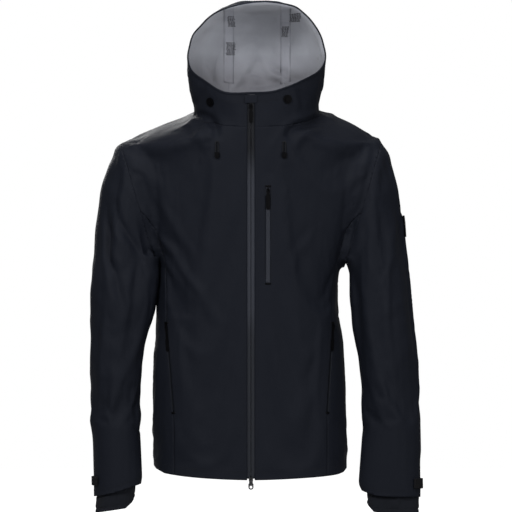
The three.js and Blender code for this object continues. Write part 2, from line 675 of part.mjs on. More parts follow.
function addNeckParts() {
  const { half, thick, high, leg, z, y } = LOOP;
  const frame = box(-half, half, y - thick, y, z - high, z + thick);
  const gap = box(-half + leg, half - leg, y - 10, y + 10, z - high + 3, z);
  addMesh(jacket, "hanger_loop", frame.subtract(gap), TRIM);
  const labelTop = z - high - LABEL.drop;
  const label = box(-LABEL.half, LABEL.half, y - LABEL.thick, y, labelTop - LABEL.high, labelTop);
  addMesh(jacket, "neck_label", label, LINING);
}

// ---- Hood cords and locks -----------------------------------------------------------------------------
// A round lock sewn to the fabric, with a button that is pressed to free the cord.
function addCordLock(name, group) {
  const ring = disc(LOCK.ring, ...LOCK.y).subtract(disc(LOCK.bore, -5, 1));
  addMesh(group, `${name}_cord_lock`, ring, PLASTIC);
  addMesh(group, `${name}_lock_button`, disc(LOCK.button, ...LOCK.buttonY), PLASTIC);
  jacket.add(group);
}

// A loop of cord that hangs out of an eyelet, with a clamp on its end.
function addCordEnd(name, group) {
  const path = new THREE.CatmullRomCurve3(CORD_LOOP.map((p) => new THREE.Vector3(...p)));
  const round = new THREE.Shape().absarc(0, 0, CORD_RADIUS, 0, 2 * Math.PI, false);
  const cord = new THREE.ExtrudeGeometry(round, { steps: 16, extrudePath: path, curveSegments: 3 });
  addMesh(group, `${name}_hood_cord`, solidOf(cord), TRIM);
  const clamp = box(-4.6, 4.6, -5.4, -1, -31, -22).add(box(-3.4, 3.4, -5, -1.4, -33, -30.9));
  addMesh(group, `${name}_cord_toggle`, clamp, PLASTIC);
  jacket.add(group);
}

// The lock at the back of the hood stands on the nape, facing +Y.
function rearGroup() {
  const group = new THREE.Group();
  group.matrixAutoUpdate = false;
  group.matrix.makeRotationZ(Math.PI).setPosition(...REAR_LOCK);
  return group;
}

addPanels();
addMainZip();
addPocketZips();
addSleeveParts();
addInsideParts();
addNeckParts();
for (const [name, place] of Object.entries(FRONT_LOCKS)) addCordLock(name, onFront(place));
addCordLock("rear_hood", rearGroup());
for (const [name, place] of Object.entries(CORD_EYELETS)) addCordEnd(name, onFront(place));

// The origin is the middle of the loop's flat underside, where it rests on a hook.
jacket.position.set(0, -LOOP.y + LOOP.thick / 2, -LOOP.z);

export default jacket;
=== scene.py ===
"""A black hooded hardshell jacket, hanging zipped up and empty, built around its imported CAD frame."""
import math
from contextlib import contextmanager

import bmesh
import bpy
import numpy as np
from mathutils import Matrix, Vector
from mathutils.bvhtree import BVHTree
from mathutils.kdtree import KDTree

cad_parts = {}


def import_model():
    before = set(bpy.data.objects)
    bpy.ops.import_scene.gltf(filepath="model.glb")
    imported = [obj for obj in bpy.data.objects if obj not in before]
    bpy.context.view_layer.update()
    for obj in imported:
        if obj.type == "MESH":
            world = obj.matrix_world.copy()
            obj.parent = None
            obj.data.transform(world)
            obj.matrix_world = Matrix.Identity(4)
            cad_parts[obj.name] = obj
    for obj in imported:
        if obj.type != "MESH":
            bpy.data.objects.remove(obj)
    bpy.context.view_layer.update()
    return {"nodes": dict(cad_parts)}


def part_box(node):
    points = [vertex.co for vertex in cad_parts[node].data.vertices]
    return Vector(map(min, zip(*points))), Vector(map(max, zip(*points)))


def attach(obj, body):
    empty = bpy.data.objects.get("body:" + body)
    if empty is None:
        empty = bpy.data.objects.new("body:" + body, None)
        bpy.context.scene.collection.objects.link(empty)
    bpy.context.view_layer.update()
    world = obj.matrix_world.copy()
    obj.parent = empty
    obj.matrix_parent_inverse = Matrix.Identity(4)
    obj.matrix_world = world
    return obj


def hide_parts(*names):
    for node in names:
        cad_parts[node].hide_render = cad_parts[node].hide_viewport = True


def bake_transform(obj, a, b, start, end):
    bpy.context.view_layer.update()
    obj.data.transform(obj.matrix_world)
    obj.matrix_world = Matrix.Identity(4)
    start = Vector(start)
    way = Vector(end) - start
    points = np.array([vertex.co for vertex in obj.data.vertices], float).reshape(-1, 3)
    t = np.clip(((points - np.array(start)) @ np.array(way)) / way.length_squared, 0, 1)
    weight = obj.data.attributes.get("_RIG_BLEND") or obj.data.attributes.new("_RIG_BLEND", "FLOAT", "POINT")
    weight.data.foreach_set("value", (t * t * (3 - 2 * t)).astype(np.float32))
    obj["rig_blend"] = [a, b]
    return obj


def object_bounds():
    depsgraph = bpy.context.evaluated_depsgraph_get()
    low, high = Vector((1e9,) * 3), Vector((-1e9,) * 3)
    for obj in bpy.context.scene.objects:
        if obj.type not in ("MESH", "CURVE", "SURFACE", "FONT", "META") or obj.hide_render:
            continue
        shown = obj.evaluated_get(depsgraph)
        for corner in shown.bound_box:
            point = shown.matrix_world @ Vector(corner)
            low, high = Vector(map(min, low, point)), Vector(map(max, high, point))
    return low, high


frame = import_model()

# ---- The jacket's own frame: millimetres from the middle of the hem, x to the wearer's left, y to the back
MM = 0.001
FRONT = 125  # how far the front stands ahead of the side seams
ORIGIN = np.array([0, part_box("front_left_panel")[0].y + FRONT * MM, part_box("front_left_panel")[0].z])

BODY_POINTS = 132  # points round each ring of the torso and hood
SLEEVE_POINTS = 64
STUB_TAPER = 0.86  # how fast a sleeve narrows inside the torso, ring by ring
STUB_REACH = 62  # how far a sleeve runs past the armhole in the torso's own form
VOXEL = 4.6  # surface grain of the torso and hood
COARSE = 9  # grain of the copy that the cloth simulation moves
CLOTH = 1.0  # thickness of the laminate
SEAM_DIP = 0.8  # depth of a seam, which runs out to both sides of it over the next length
SEAM_SIDE = 3.5
STITCH = (2.5, 0.36, 3.4)  # length, radius and pitch of a stitch
# Sections of the coated zip strips, as (distance from the middle, depth under the skin).
HALF_FILM = ((0.25, 0.9), (0.75, 0.1), (1.9, -0.1), (3.2, 0.3), (5.0, 0.6), (8.8, 1.0))
POCKET_FILM = ((0.35, 1.6), (0.9, 0.55), (1.8, 0.4), (3.2, 0.8), (5.4, 1.15))

# Planes and lines that the pieces of the shell meet along.
NECK = (716, 0.27)  # height at y 0 and rise towards the back
HOOD = (775, -0.27)
SHOULDER_Y = 14
YOKE_Z = 560
BRIM = (-64, 868)  # y of the seam and the height it starts at
HOOD_SEAMS = (-44, 68)
ARMHOLE = (219.3, 537, 0.293)  # x and z of its middle, lean from upright
ARMPIT_Z = 398
REFIT_HOLLOW_Z = 505  # above this height the hollows behind the armholes are filled up to the CAD shells
SPLIT_Z = 431  # the sleeve and the side part company below this height
UNDERARM_BEND = (187, 431)  # x and z of the low end of the armhole, where a swinging sleeve starts to bend
SLEEVE_BEND = 75  # length over which it bends
SLEEVE_WAY = (0.93, -0.37)  # the way in x and z that it bends along
NECK_BEND = 90  # height over which a tilting hood bends
ZIP_EDGE = 7.2  # the front edges stop this far from the middle of the zip
CHIN_Z = 753
# The front of the face opening sags below the rim line by so much at each x.
CHIN_SAG = [(-125, 0), (-105, 6), (-90, 8.5), (-72, 13), (-52, 14.5), (-20, 9), (0, 6), (43, 6), (65, 2),
            (85, -1.5), (110, -1.5), (130, 0)]
HEM_LINE = [(-230, 90), (-208, 55), (-196, 33), (-184, 20), (-168, 12), (-100, 4), (0, 0), (100, 3.5),
            (168, 9.5), (184, 18), (196, 32), (208, 54), (230, 90)]
FLOOR_Z = -0.95  # in metres, well below the cuffs
RIM_LINE = [(740, -140), (753, -126), (761, -117), (777, -103), (793, -84), (815, -64), (849, -55),
            (887, -58), (923, -76), (943, -92)]
CHEST_ZIP = [(33, 567), (33, 380)]
POCKET_ZIPS = {"left": [(159, 303), (148, 130)], "right": [(-164, 303), (-150, 130)]}
SHORT_ZIPS = {  # line and half width of the slot
    "chest": (CHEST_ZIP, 3.7),
    "left_pocket": (POCKET_ZIPS["left"], 1.7),
    "right_pocket": (POCKET_ZIPS["right"], 1.7),
}
SIDE_TOP = [(525, 222), (510, 204), (482, 184), (450, 175), (415, 166)]
CUFF_LINES = {
    "left": [(180, -10), (209, -20), (235, -29), (262, -33), (360, -35)],
    "right": [(-360, -42), (-301, -32.5), (-265, -25), (-211, -8), (-180, 2)],
}
INNER_CUFF_LINES = {
    "left": [(200, -30), (222, -40), (228, -52), (238, -63), (250, -65), (345, -66)],
    "right": [(-330, -66), (-301, -64.8), (-243, -56), (-231, -45), (-224, -34), (-205, -20)],
}
SLEEVE_LINES = {
    "left": [(118, -4, 664), (163, -4, 640), (204, -6, 595), (227, -10, 545), (239, -14, 490),
             (242, -22, 430), (253, -32, 347), (267, -39, 240), (272, -46, 100), (270, -56, -13),
             (269.5, -57, -60)],
    "right": [(-112, -4, 664), (-158, -4, 640), (-204, -6, 595), (-229, -10, 545), (-240, -14, 490),
              (-245, -27, 430), (-250.5, -46, 345), (-259, -46, 250), (-262, -49, 100), (-258.7, -56, -9),
              (-258.5, -56, -60)],
}
SIDES = {"left": 1, "right": -1}
BACKWARD = Vector((0, 1, 0))

TORSO_NODES = ["front_left_panel", "front_right_panel", "left_side_panel", "right_side_panel", "back_panel",
               "back_yoke", "collar"]
HOOD_NODES = ["hood_centre_panel", "hood_left_panel", "hood_right_panel", "hood_brim"]


def at(x, y, z):
    """A point of the jacket's own frame, in the scene's metres."""
    return Vector(ORIGIN + np.array([x, y, z], float) * MM)


def own(points):
    """Points of the scene in the jacket's own frame."""
    return (np.asarray(points) - ORIGIN) / MM


def smoothstep(low, high, value):
    t = np.clip((value - low) / (high - low), 0, 1)
    return t * t * (3 - 2 * t)


def curve(points, step):
    """A smooth line through the points, with a point about every step."""
    points = np.array(points, float)
    padded = np.concatenate([[2 * points[0] - points[1]], points, [2 * points[-1] - points[-2]]])
    out = []
    for a, b, c, d in zip(padded, padded[1:], padded[2:], padded[3:]):
        count = max(1, round(float(np.linalg.norm(c - b)) / step))
        for t in np.arange(count) / count:
            out.append(0.5 * (2 * b + (c - a) * t + (2 * a - 5 * b + 4 * c - d) * t**2
                              + (3 * b - a - 3 * c + d) * t**3))
    return np.array(out + [points[-1]])


def off_line(points, line):
    """Distance of 2-D points from a polyline, how far along it they are (0 to 1), and the signed distance."""
    line = np.array(line, float)
    lengths = np.linalg.norm(np.diff(line, axis=0), axis=1)
    starts = np.concatenate([[0], np.cumsum(lengths)])
    best = np.full(len(points), np.inf)
    share = np.zeros(len(points))
    signed = np.zeros(len(points))
    for a, b, start, length in zip(line, line[1:], starts, lengths):
        along = (b - a) / length
        run = np.clip((points - a) @ along, 0, length)
        gap = points - a - run[:, None] * along
        distance = np.linalg.norm(gap, axis=1)
        closer = distance < best
        best[closer] = distance[closer]
        share[closer] = (start + run[closer]) / starts[-1]
        side = gap[:, 0] * along[1] - gap[:, 1] * along[0]
        signed[closer] = (np.sign(side) * distance)[closer]
    return best, share, signed


def beyond(points, line, run=0, rise=2):
    """How far points lie past a line of (run, rise), along the rise axis."""
    line = np.array(line)
    return points[:, rise] - np.interp(points[:, run], line[:, 0], line[:, 1])


# ---- Mesh helpers ---------------------------------------------------------------------------------------
def link(name, mesh, *materials):
    piece = bpy.data.objects.new(name, mesh)
    bpy.context.scene.collection.objects.link(piece)
    for material in materials:
        mesh.materials.append(material)
    return piece


def shade_smooth(mesh):
    mesh.polygons.foreach_set("use_smooth", [True] * len(mesh.polygons))


def mesh_of(name, points, faces):
    mesh = bpy.data.meshes.new(name)
    mesh.from_pydata([tuple(p) for p in points], [], faces)
    mesh.validate()
    shade_smooth(mesh)
    return mesh


def values(mesh, what="co"):
    data = np.empty(len(mesh.vertices) * 3)
    mesh.vertices.foreach_get(what, data)
    return data.reshape(-1, 3)


def set_points(mesh, points):
    mesh.vertices.foreach_set("co", np.asarray(points, float).ravel())
    mesh.update()


@contextmanager
def editing(mesh):
    """The mesh as a bmesh, written back to it at the end."""
    bm = bmesh.new()
    bm.from_mesh(mesh)
    yield bm
    bm.to_mesh(mesh)
    bm.free()


def orient(mesh, looking):
    """Turns an open sheet so that its faces look the way that the function gives at their centres."""
    with editing(mesh) as bm:
        bm.normal_update()
        if sum(f.normal.dot(looking(f.calc_center_median())) for f in bm.faces) < 0:
            bmesh.ops.reverse_faces(bm, faces=bm.faces)


def modify(piece, kind, **settings):
    modifier = piece.modifiers.new(kind.lower(), kind)
    for key, value in settings.items():
        setattr(modifier, key, value)
    return modifier


def apply_modifiers(piece):
    mesh = bpy.data.meshes.new_from_object(piece.evaluated_get(bpy.context.evaluated_depsgraph_get()))
    piece.modifiers.clear()
    piece.data = mesh
    return piece


def mesh_tree(meshes):
    bm = bmesh.new()
    for mesh in meshes:
        bm.from_mesh(mesh)
    tree = BVHTree.FromBMesh(bm)
    bm.free()
    return tree


def tree_of(nodes):
    return mesh_tree([frame["nodes"][name].data for name in nodes])


def closed_loft(loops):
    count = len(loops[0])
    points = [p for loop in loops for p in loop]
    points += [sum(loops[0], Vector()) / count, sum(loops[-1], Vector()) / count]
    faces = []
    for r in range(len(loops) - 1):
        for k in range(count):
            a, b = r * count + k, r * count + (k + 1) % count
            faces.append((a, b, b + count, a + count))
    last = (len(loops) - 1) * count
    for k in range(count):
        faces.append((len(points) - 2, (k + 1) % count, k))
        faces.append((len(points) - 1, last + k, last + (k + 1) % count))
    return points, faces


def sample_rings(tree, rings, count, least, taper=1.0):
    """Loops on the outermost surface round each ring (centre, across, depth), with the gaps bridged.

    Rings before the first whole one shrink by the taper."""
    angles = np.linspace(0, 2 * math.pi, count, endpoint=False)
    reach = 0.5
    rows = []
    for centre, across, depth in rings:
        radii = np.full(count, np.nan)
        for k, t in enumerate(angles):
            out = (across * math.cos(t) + depth * math.sin(t)).normalized()
            hit = tree.ray_cast(centre + out * reach, -out, reach)[0]
            if hit is not None and (hit - centre).dot(out) > least:
                radii[k] = (hit - centre).dot(out)
        rows.append(radii)
    rows = np.array(rows)
    missing = np.isnan(rows)
    found = np.flatnonzero(missing.mean(axis=1) < 0.4)
    for k in found:
        good = ~missing[k]
        rows[k] = np.interp(angles, angles[good], rows[k][good], period=2 * math.pi)
    for k in np.flatnonzero(missing.mean(axis=1) >= 0.4):
        near = found[np.argmin(np.abs(found - k))]
        rows[k][missing[k]] = rows[near][missing[k]] * taper ** max(0, near - k)
    # A ray that slips through an opening leaves one ring far from both of its neighbours.
    middle = np.median([rows[:-2], rows[1:-1], rows[2:]], axis=0)
    stray = np.abs(rows[1:-1] - middle) > 8 * MM
    rows[1:-1][stray] = middle[stray]
    return [
        [centre + (across * math.cos(t) + depth * math.sin(t)).normalized() * r for t, r in zip(angles, row)]
        for (centre, across, depth), row in zip(rings, rows)
    ]


def shifted(points, shifts):
    """Points drawn aside near some lines: (line of (x, z), half width, shift in x and z)."""
    points = np.array(points, float)
    moves = np.zeros((len(points), 2))
    for line, width, shift in shifts:
        near = np.exp(-(off_line(points[:, [0, 2]], line)[0] / width) ** 2)
        moves += near[:, None] * np.array(shift)
    points[:, [0, 2]] += moves
    return points


# ---- The outer form, sampled from the CAD shells --------------------------------------------------------
# Under the arm the sleeve reaches in to meet the side.
UNDERARM = {
    "left": [([(202, 488), (189, 438)], 13, (-9, 0))],
    "right": [([(-200, 478), (-189, 436)], 12, (7.5, 0))],
}


def body_rings():
    crown = (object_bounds()[1].z - ORIGIN[2]) / MM
    dome = crown - 26 * np.linspace(1, 0.04, 9) ** 1.5
    heights = np.concatenate([np.arange(-30, 600, 15), np.arange(600, 900, 7), dome])
    lean = np.interp(heights, [0, 620, 660, 693, 719, 734, 760, 790], [0, 0.02, 0.1, 0.2, 0.27, 0.24, 0.1, 0])
    y = np.interp(heights, [690, 740, 790, 850, 930], [0, -15, -25, -10, -15])
    x = np.interp(heights, [0, 300, 430, 690, 720, 900], [-1, -7, 0, 3, 10, 12])
    # The hem curves up at the sides, so the rings below its corners are copies of the one just above them.
    sources = np.maximum(heights, 32)
    rings = [
        (at(cx, cy, source + slope * cy), Vector((1, 0, 0)), Vector((0, 1, slope)))
        for cx, cy, slope, source in zip(x, y, lean, sources)
    ]
    return rings, heights - sources


def sleeve_rings(side, step=9):
    """Rings along a sleeve, square to its middle line."""
    middle = curve(SLEEVE_LINES[side], step)
    for _ in range(4):
        middle[1:-1] = (middle[:-2] + 2 * middle[1:-1] + middle[2:]) / 4
    heading = np.gradient(middle, axis=0)
    heading[:, 1] = 0
    heading /= np.linalg.norm(heading, axis=1)[:, None]
    return [(at(*c), Vector((-h[2], 0, h[0])), Vector((0, 1, 0))) for c, h in zip(middle, heading)]


def past_armhole(points, side):
    """How far points lie outside the plane of an armhole."""
    x, z, lean = ARMHOLE
    return (points[:, 0] * SIDES[side] - x) * math.cos(lean) - (points[:, 2] - z) * math.sin(lean)


def outer_forms():
    """The torso with the hood as one closed form, and each sleeve as a tube that starts inside it."""
    rings, drops = body_rings()
    loops = sample_rings(tree_of(TORSO_NODES + HOOD_NODES), rings, BODY_POINTS, 0.012)
    for drop, loop in zip(drops, loops):
        for p in loop:
            p.z += drop * MM
    points, faces = closed_loft(loops)
    sleeves = {}
    for side in SIDES:
        tree = tree_of([f"{side}_sleeve"])
        loops = sample_rings(tree, sleeve_rings(side), SLEEVE_POINTS, 0.02)
        centres = own([sum(loop, Vector()) / len(loop) for loop in loops])
        tapered = sample_rings(tree, sleeve_rings(side), SLEEVE_POINTS, 0.02, taper=STUB_TAPER)
        for loop in loops + tapered:
            loop[:] = [at(*p) for p in shifted(own(loop), UNDERARM[side])]
        stub = [loop for loop, past in zip(tapered, past_armhole(centres, side)) if past < STUB_REACH]
        more, quads = closed_loft(stub)
        faces += [tuple(i + len(points) for i in face) for face in quads]
        points += more
        tube, quads = closed_loft(loops)
        sleeves[side] = link(f"{side}_sleeve_form", mesh_of(f"{side}_sleeve_form", tube, quads))
    form = link("torso_form", mesh_of("torso_form", points, faces))
    for piece in (form, *sleeves.values()):
        with editing(piece.data) as bm:
            bmesh.ops.recalc_face_normals(bm, faces=bm.faces)
    modify(form, "REMESH", mode="VOXEL", voxel_size=VOXEL * MM)
    modify(form, "SMOOTH", iterations=8)
    apply_modifiers(form)
    refit(form)
    for sleeve in sleeves.values():
        modify(sleeve, "SMOOTH", iterations=3)
        modify(sleeve, "SUBSURF", levels=1)
        apply_modifiers(sleeve)
    return form, sleeves


def refit(form):
    """Lays the body form back onto the CAD shells round the armholes, where the rings follow them loosely."""
    tree = tree_of(TORSO_NODES + [f"{side}_sleeve" for side in SIDES])
    co = values(form.data)
    points = own(co)
    group = form.vertex_groups.new(name="refitted")
    for side, sign in SIDES.items():
        past = past_armhole(points, side)
        weight = smoothstep(-75, -55, past) * smoothstep(30, 20, past) * smoothstep(420, 436, points[:, 2])
        weight *= points[:, 0] * sign > 0
        for k in np.flatnonzero(weight):
            place, _, _, distance = tree.find_nearest(Vector(co[k]))
            if distance < (26 if points[k, 2] < REFIT_HOLLOW_Z else 46) * MM:
                co[k] += (np.array(place) - co[k]) * weight[k]
                group.add([int(k)], float(weight[k]), "REPLACE")
    set_points(form.data, co)
    modify(form, "SMOOTH", iterations=5, vertex_group="refitted")
    apply_modifiers(form)
    form.vertex_groups.clear()


# ---- Folds ----------------------------------------------------------------------------------------------
# Each fold is a line of (x, z), its half width and its height: above 0 it is a ridge, below 0 a crease.
FRONT_FOLDS = [
    ([(-232, 560), (-165, 455), (-110, 375), (-50, 290)], 10, 6),
    ([(-190, 560), (-140, 478), (-95, 400)], 9, 3.4),
    ([(-196, 462), (-150, 400), (-104, 335)], 9, 4.5),
    ([(-216, 505), (-200, 440), (-186, 350)], 9, -8),
    ([(-140, 716), (-92, 706), (-68, 684), (-60, 632)], 8, -10),
    ([(-134, 694), (-104, 680), (-86, 630)], 10, 4.5),
    ([(162, 704), (109, 692), (78, 680), (56, 632)], 8, -10),
    ([(138, 682), (100, 664), (80, 626)], 10, 4.5),
    ([(82, 772), (98, 742), (104, 708)], 7, -4),
    ([(-88, 768), (-100, 742), (-112, 716)], 7, -3),
    ([(243, 660), (222, 560), (196, 500), (178, 445)], 8, -5),
    ([(208, 650), (190, 570), (166, 480)], 14, 3.5),
    ([(12, 340), (14, 210)], 8, -2),
    ([(-96, 310), (-104, 180), (-100, 50)], 16, 2.4),
    ([(92, 340), (104, 200), (98, 60)], 16, 2.6),
    ([(-134, 330), (-141, 250), (-146, 60)], 9, 2.6),
    ([(138, 330), (134, 200), (140, 60)], 9, 2.4),
    ([(130, 490), (70, 405)], 11, 2.6),
    ([(-60, 640), (-80, 560), (-70, 470)], 18, 2),
]
BACK_FOLDS = [
    ([(-200, 510), (-150, 420), (-95, 320)], 12, 4.5),
    ([(200, 510), (150, 425), (100, 320)], 12, 4.5),
    ([(-60, 540), (-66, 320), (-58, 70)], 18, -3.6),
    ([(64, 520), (58, 300), (66, 80)], 18, -3.6),
    ([(-120, 320), (-126, 40)], 15, 3.2),
    ([(122, 340), (118, 40)], 15, 3.2),
    ([(30, 816), (58, 800), (104, 786)], 8, 6),
    ([(112, 792), (47, 777), (-8, 766), (-48, 758)], 8, 5.5),
    ([(-64, 830), (-68, 786), (-36, 764)], 8, 4.5),
    ([(-14, 800), (30, 784), (86, 776)], 7, 4),
    ([(-96, 812), (-84, 776), (-60, 756)], 8, -4.5),
    ([(78, 886), (70, 846), (66, 806)], 6, 2.2),
    ([(92, 872), (84, 838), (88, 806)], 6, 2),
    ([(54, 868), (56, 838), (50, 806)], 6, -2),
    ([(-34, 880), (-30, 846), (-40, 812)], 6, 2.4),
    ([(-54, 872), (-52, 840), (-58, 806)], 6, -2.4),
]
SLEEVE_FOLDS = {
    "left": [
        ([(284, 520), (270, 400), (264, 230)], 10, 5),
        ([(256, 510), (247, 420), (244, 320)], 11, -4.5),
        ([(202, 450), (206, 330), (220, 240)], 10, -4.5),
        ([(230, 575), (206, 500), (188, 445)], 8, -5.5),
        ([(304, 335), (262, 300), (232, 290)], 10, -1.4),
        ([(262, 240), (258, 150), (262, 60)], 12, 3),
        ([(300, 135), (262, 112), (236, 118)], 9, -0.8),
        ([(314, 64), (276, 44), (238, 54)], 8, -1.5),
    ],
    "right": [
        ([(-294, 540), (-272, 430), (-244, 310)], 9, -8),
        ([(-268, 540), (-236, 470), (-202, 430)], 9, -7),
        ([(-270, 510), (-246, 410)], 12, 4.5),
        ([(-214, 430), (-226, 350), (-232, 270)], 10, -4.5),
        ([(-232, 340), (-232, 190)], 12, -3),
        ([(-304, 305), (-268, 280), (-234, 292)], 10, -1.2),
        ([(-268, 240), (-272, 140), (-268, 60)], 12, 2.6),
        ([(-300, 124), (-262, 100), (-232, 110)], 9, -0.8),
        ([(-302, 64), (-264, 46), (-230, 58)], 8, -1.4),
    ],
}
# Where the outline is fuller or slimmer than the smooth rings:
# a line of (x, z), half width, shift in x and z.
SHOULDER_SHIFTS = [
    ([(160, 702), (200, 686), (244, 662)], 18, (3, 7.5)),
    ([(238, 674), (250, 662)], 12, (5.5, 5)),
    ([(136, 722), (152, 708)], 12, (3, 2)),
    ([(-200, 680), (-170, 694), (-135, 710)], 18, (0, -2)),
    ([(-236, 664), (-258, 642)], 15, (-1, 3)),
]
SHIFTS = {
    "torso": SHOULDER_SHIFTS + [
        ([(-70, 908), (-56, 916)], 14, (-1, 1)),
        ([(-36, 928), (0, 938), (50, 938)], 20, (0, 3)),
        ([(62, 930), (84, 918)], 16, (3, 4)),
        ([(-120, 785), (-117, 745)], 16, (-3, 0)),
        ([(137, 748), (134, 730)], 12, (-4, 0)),
        ([(181, 280), (188, 190), (190, 60)], 14, (4.5, 0)),
        ([(-190, 240), (-192, 100)], 22, (-5, 0)),
        ([(-182, 420), (-176, 350)], 18, (-2.5, 0)),
    ],
    "left": SHOULDER_SHIFTS + [
        ([(184, 414), (186, 400)], 12, (3.5, 0)),
        ([(196, 360), (204, 300), (222, 200), (222, 100), (214, 0)], 22, (-2.5, 0)),
        ([(326, 220), (330, 60)], 18, (2.5, 0)),
    ],
    "right": SHOULDER_SHIFTS + [
        ([(-194, 430), (-194, 400), (-204, 330)], 24, (7, 0)),
        ([(-190, 400), (-188, 366)], 12, (3, 0)),
        ([(-208, 260), (-214, 160)], 20, (-3, 0)),
        ([(-214, 100), (-212, 10)], 20, (2, 0)),
        ([(-280, 600), (-300, 500), (-312, 340), (-312, 120)], 26, (-6, 0)),
        ([(-313, 305), (-313, 215)], 18, (-2.5, 0)),
    ],
}
# The front edge of the hood curls inwards here: a line of (x, z), half width, shift in x and z.
RIM_CURL = ([(-96, 884), (-70, 908), (-38, 930), (-10, 938)], 18, (2, -4.5))
CURL_DEPTH = 26  # how far back from the edge the curl reaches


def reshape(piece, shifts):
    set_points(piece.data, ORIGIN + shifted(own(values(piece.data)), shifts) * MM)


def curl_rim(form):
    co = values(form.data)
    points = own(co)
    inland = smoothstep(CURL_DEPTH, 0, beyond(points, RIM_LINE, 2, 1))
    moves = (shifted(points, [RIM_CURL]) - points) * inland[:, None]
    set_points(form.data, co + moves * MM)


def sag(points):
    """How far the front of the face opening hangs below the plain rim line at each point."""
    x, y, z = points.T
    low = np.interp(x, *np.array(CHIN_SAG).T)
    return low * smoothstep(-30, -60, y) * smoothstep(850, 815, z) * smoothstep(690, 715, z)


def waviness(points, length, seed, waves=14):
    """A smooth random field of about unit height whose waves are about one length long."""
    random = np.random.default_rng(seed)
    ways = random.normal(size=(waves, 3))
    ways /= np.linalg.norm(ways, axis=1)[:, None]
    scales = 2 * math.pi / (length * random.uniform(0.7, 1.5, waves))
    phases = random.uniform(0, 2 * math.pi, waves)
    return np.sin(points @ (ways * scales[:, None]).T + phases).sum(axis=1) / math.sqrt(waves)


def fold_heights(points, facing, folds):
    """Height of the folds at each point: a rounded crest with a shallow trough beside it."""
    total = np.zeros(len(points))
    for line, width, height in folds:
        bent = points[:, [0, 2]] + 3 * np.stack([waviness(points, 70, 5), waviness(points, 70, 6)], axis=1)
        _, share, signed = off_line(bent, curve(line, 15))
        distance = signed / (width * (0.75 + 0.5 * share))
        crest = np.exp(-distance**2) - 0.35 * np.exp(-(distance - 1.7) ** 2)
        total += height * crest * np.sin(math.pi * np.clip(share, 0.01, 0.99)) ** 0.8
    return total * facing


STIFF_FITTINGS = ["left_hood_cord_lock", "right_hood_cord_lock", "rear_hood_cord_lock", "left_cord_toggle",
                  "right_cord_toggle", "left_hood_cord", "right_hood_cord", "sleeve_badge"]


def slack(points):
    """How free the cloth is to move: 0 along zips, edges and fittings, 1 on the open panels."""
    x, y, z = points.T
    free = smoothstep(11, 34, np.hypot(x, np.maximum(0, y + 40)))
    for zip_line, tight in ((CHEST_ZIP, 12), *((line, 13) for line in POCKET_ZIPS.values())):
        free *= np.where(y < 0, smoothstep(tight, 30, off_line(points[:, [0, 2]], zip_line)[0]), 1)
    for name in STIFF_FITTINGS:
        low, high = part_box(name)
        away = np.linalg.norm(points - own([(low + high) / 2])[0], axis=1)
        free *= smoothstep(9, 26, away)
    free *= smoothstep(4, 26, beyond(points, HEM_LINE))
    lifted = points + sag(points)[:, None] * (0, 0, 1)
    free *= np.where(z > CHIN_Z - 35, smoothstep(2, 24, beyond(lifted, RIM_LINE, 2, 1)), 1)
    for side, sign in SIDES.items():
        low_sleeve = (x * sign > 205) & (z < 60)
        free *= np.where(low_sleeve, smoothstep(6, 40, beyond(points, CUFF_LINES[side])), 1)
    return free


def seam_free(points):
    """0 on the armhole seams, so that both sides of them stay together."""
    free = np.ones(len(points))
    for side, sign in SIDES.items():
        near = (points[:, 2] > ARMPIT_Z - 15) & (points[:, 0] * sign > 0)
        free *= np.where(near, smoothstep(2, 22, np.abs(past_armhole(points, side))), 1)
    return free


def crease(piece, front, back, seed):
    """Moves the points of a form along their normals by its folds and a slight waviness."""
    co = values(piece.data)
    normal = values(piece.data, "normal")
    points = own(co)
    ahead = smoothstep(0.05, 0.45, -normal[:, 1])
    behind = smoothstep(0.05, 0.45, normal[:, 1])
    height = fold_heights(points, ahead, front) + fold_heights(points, behind, back)
    height += (1.1 * waviness(points, 95, seed) + 0.45 * waviness(points, 38, seed + 1)) * seam_free(points)
    height *= slack(points)
    set_points(piece.data, co + normal * height[:, None] * MM)


CLOTH_SETTINGS = {"quality": 6, "mass": 0.25, "tension_stiffness": 18, "compression_stiffness": 18,
                  "shear_stiffness": 8, "bending_stiffness": 1.2, "pin_stiffness": 1,
                  "vertex_group_mass": "held"}


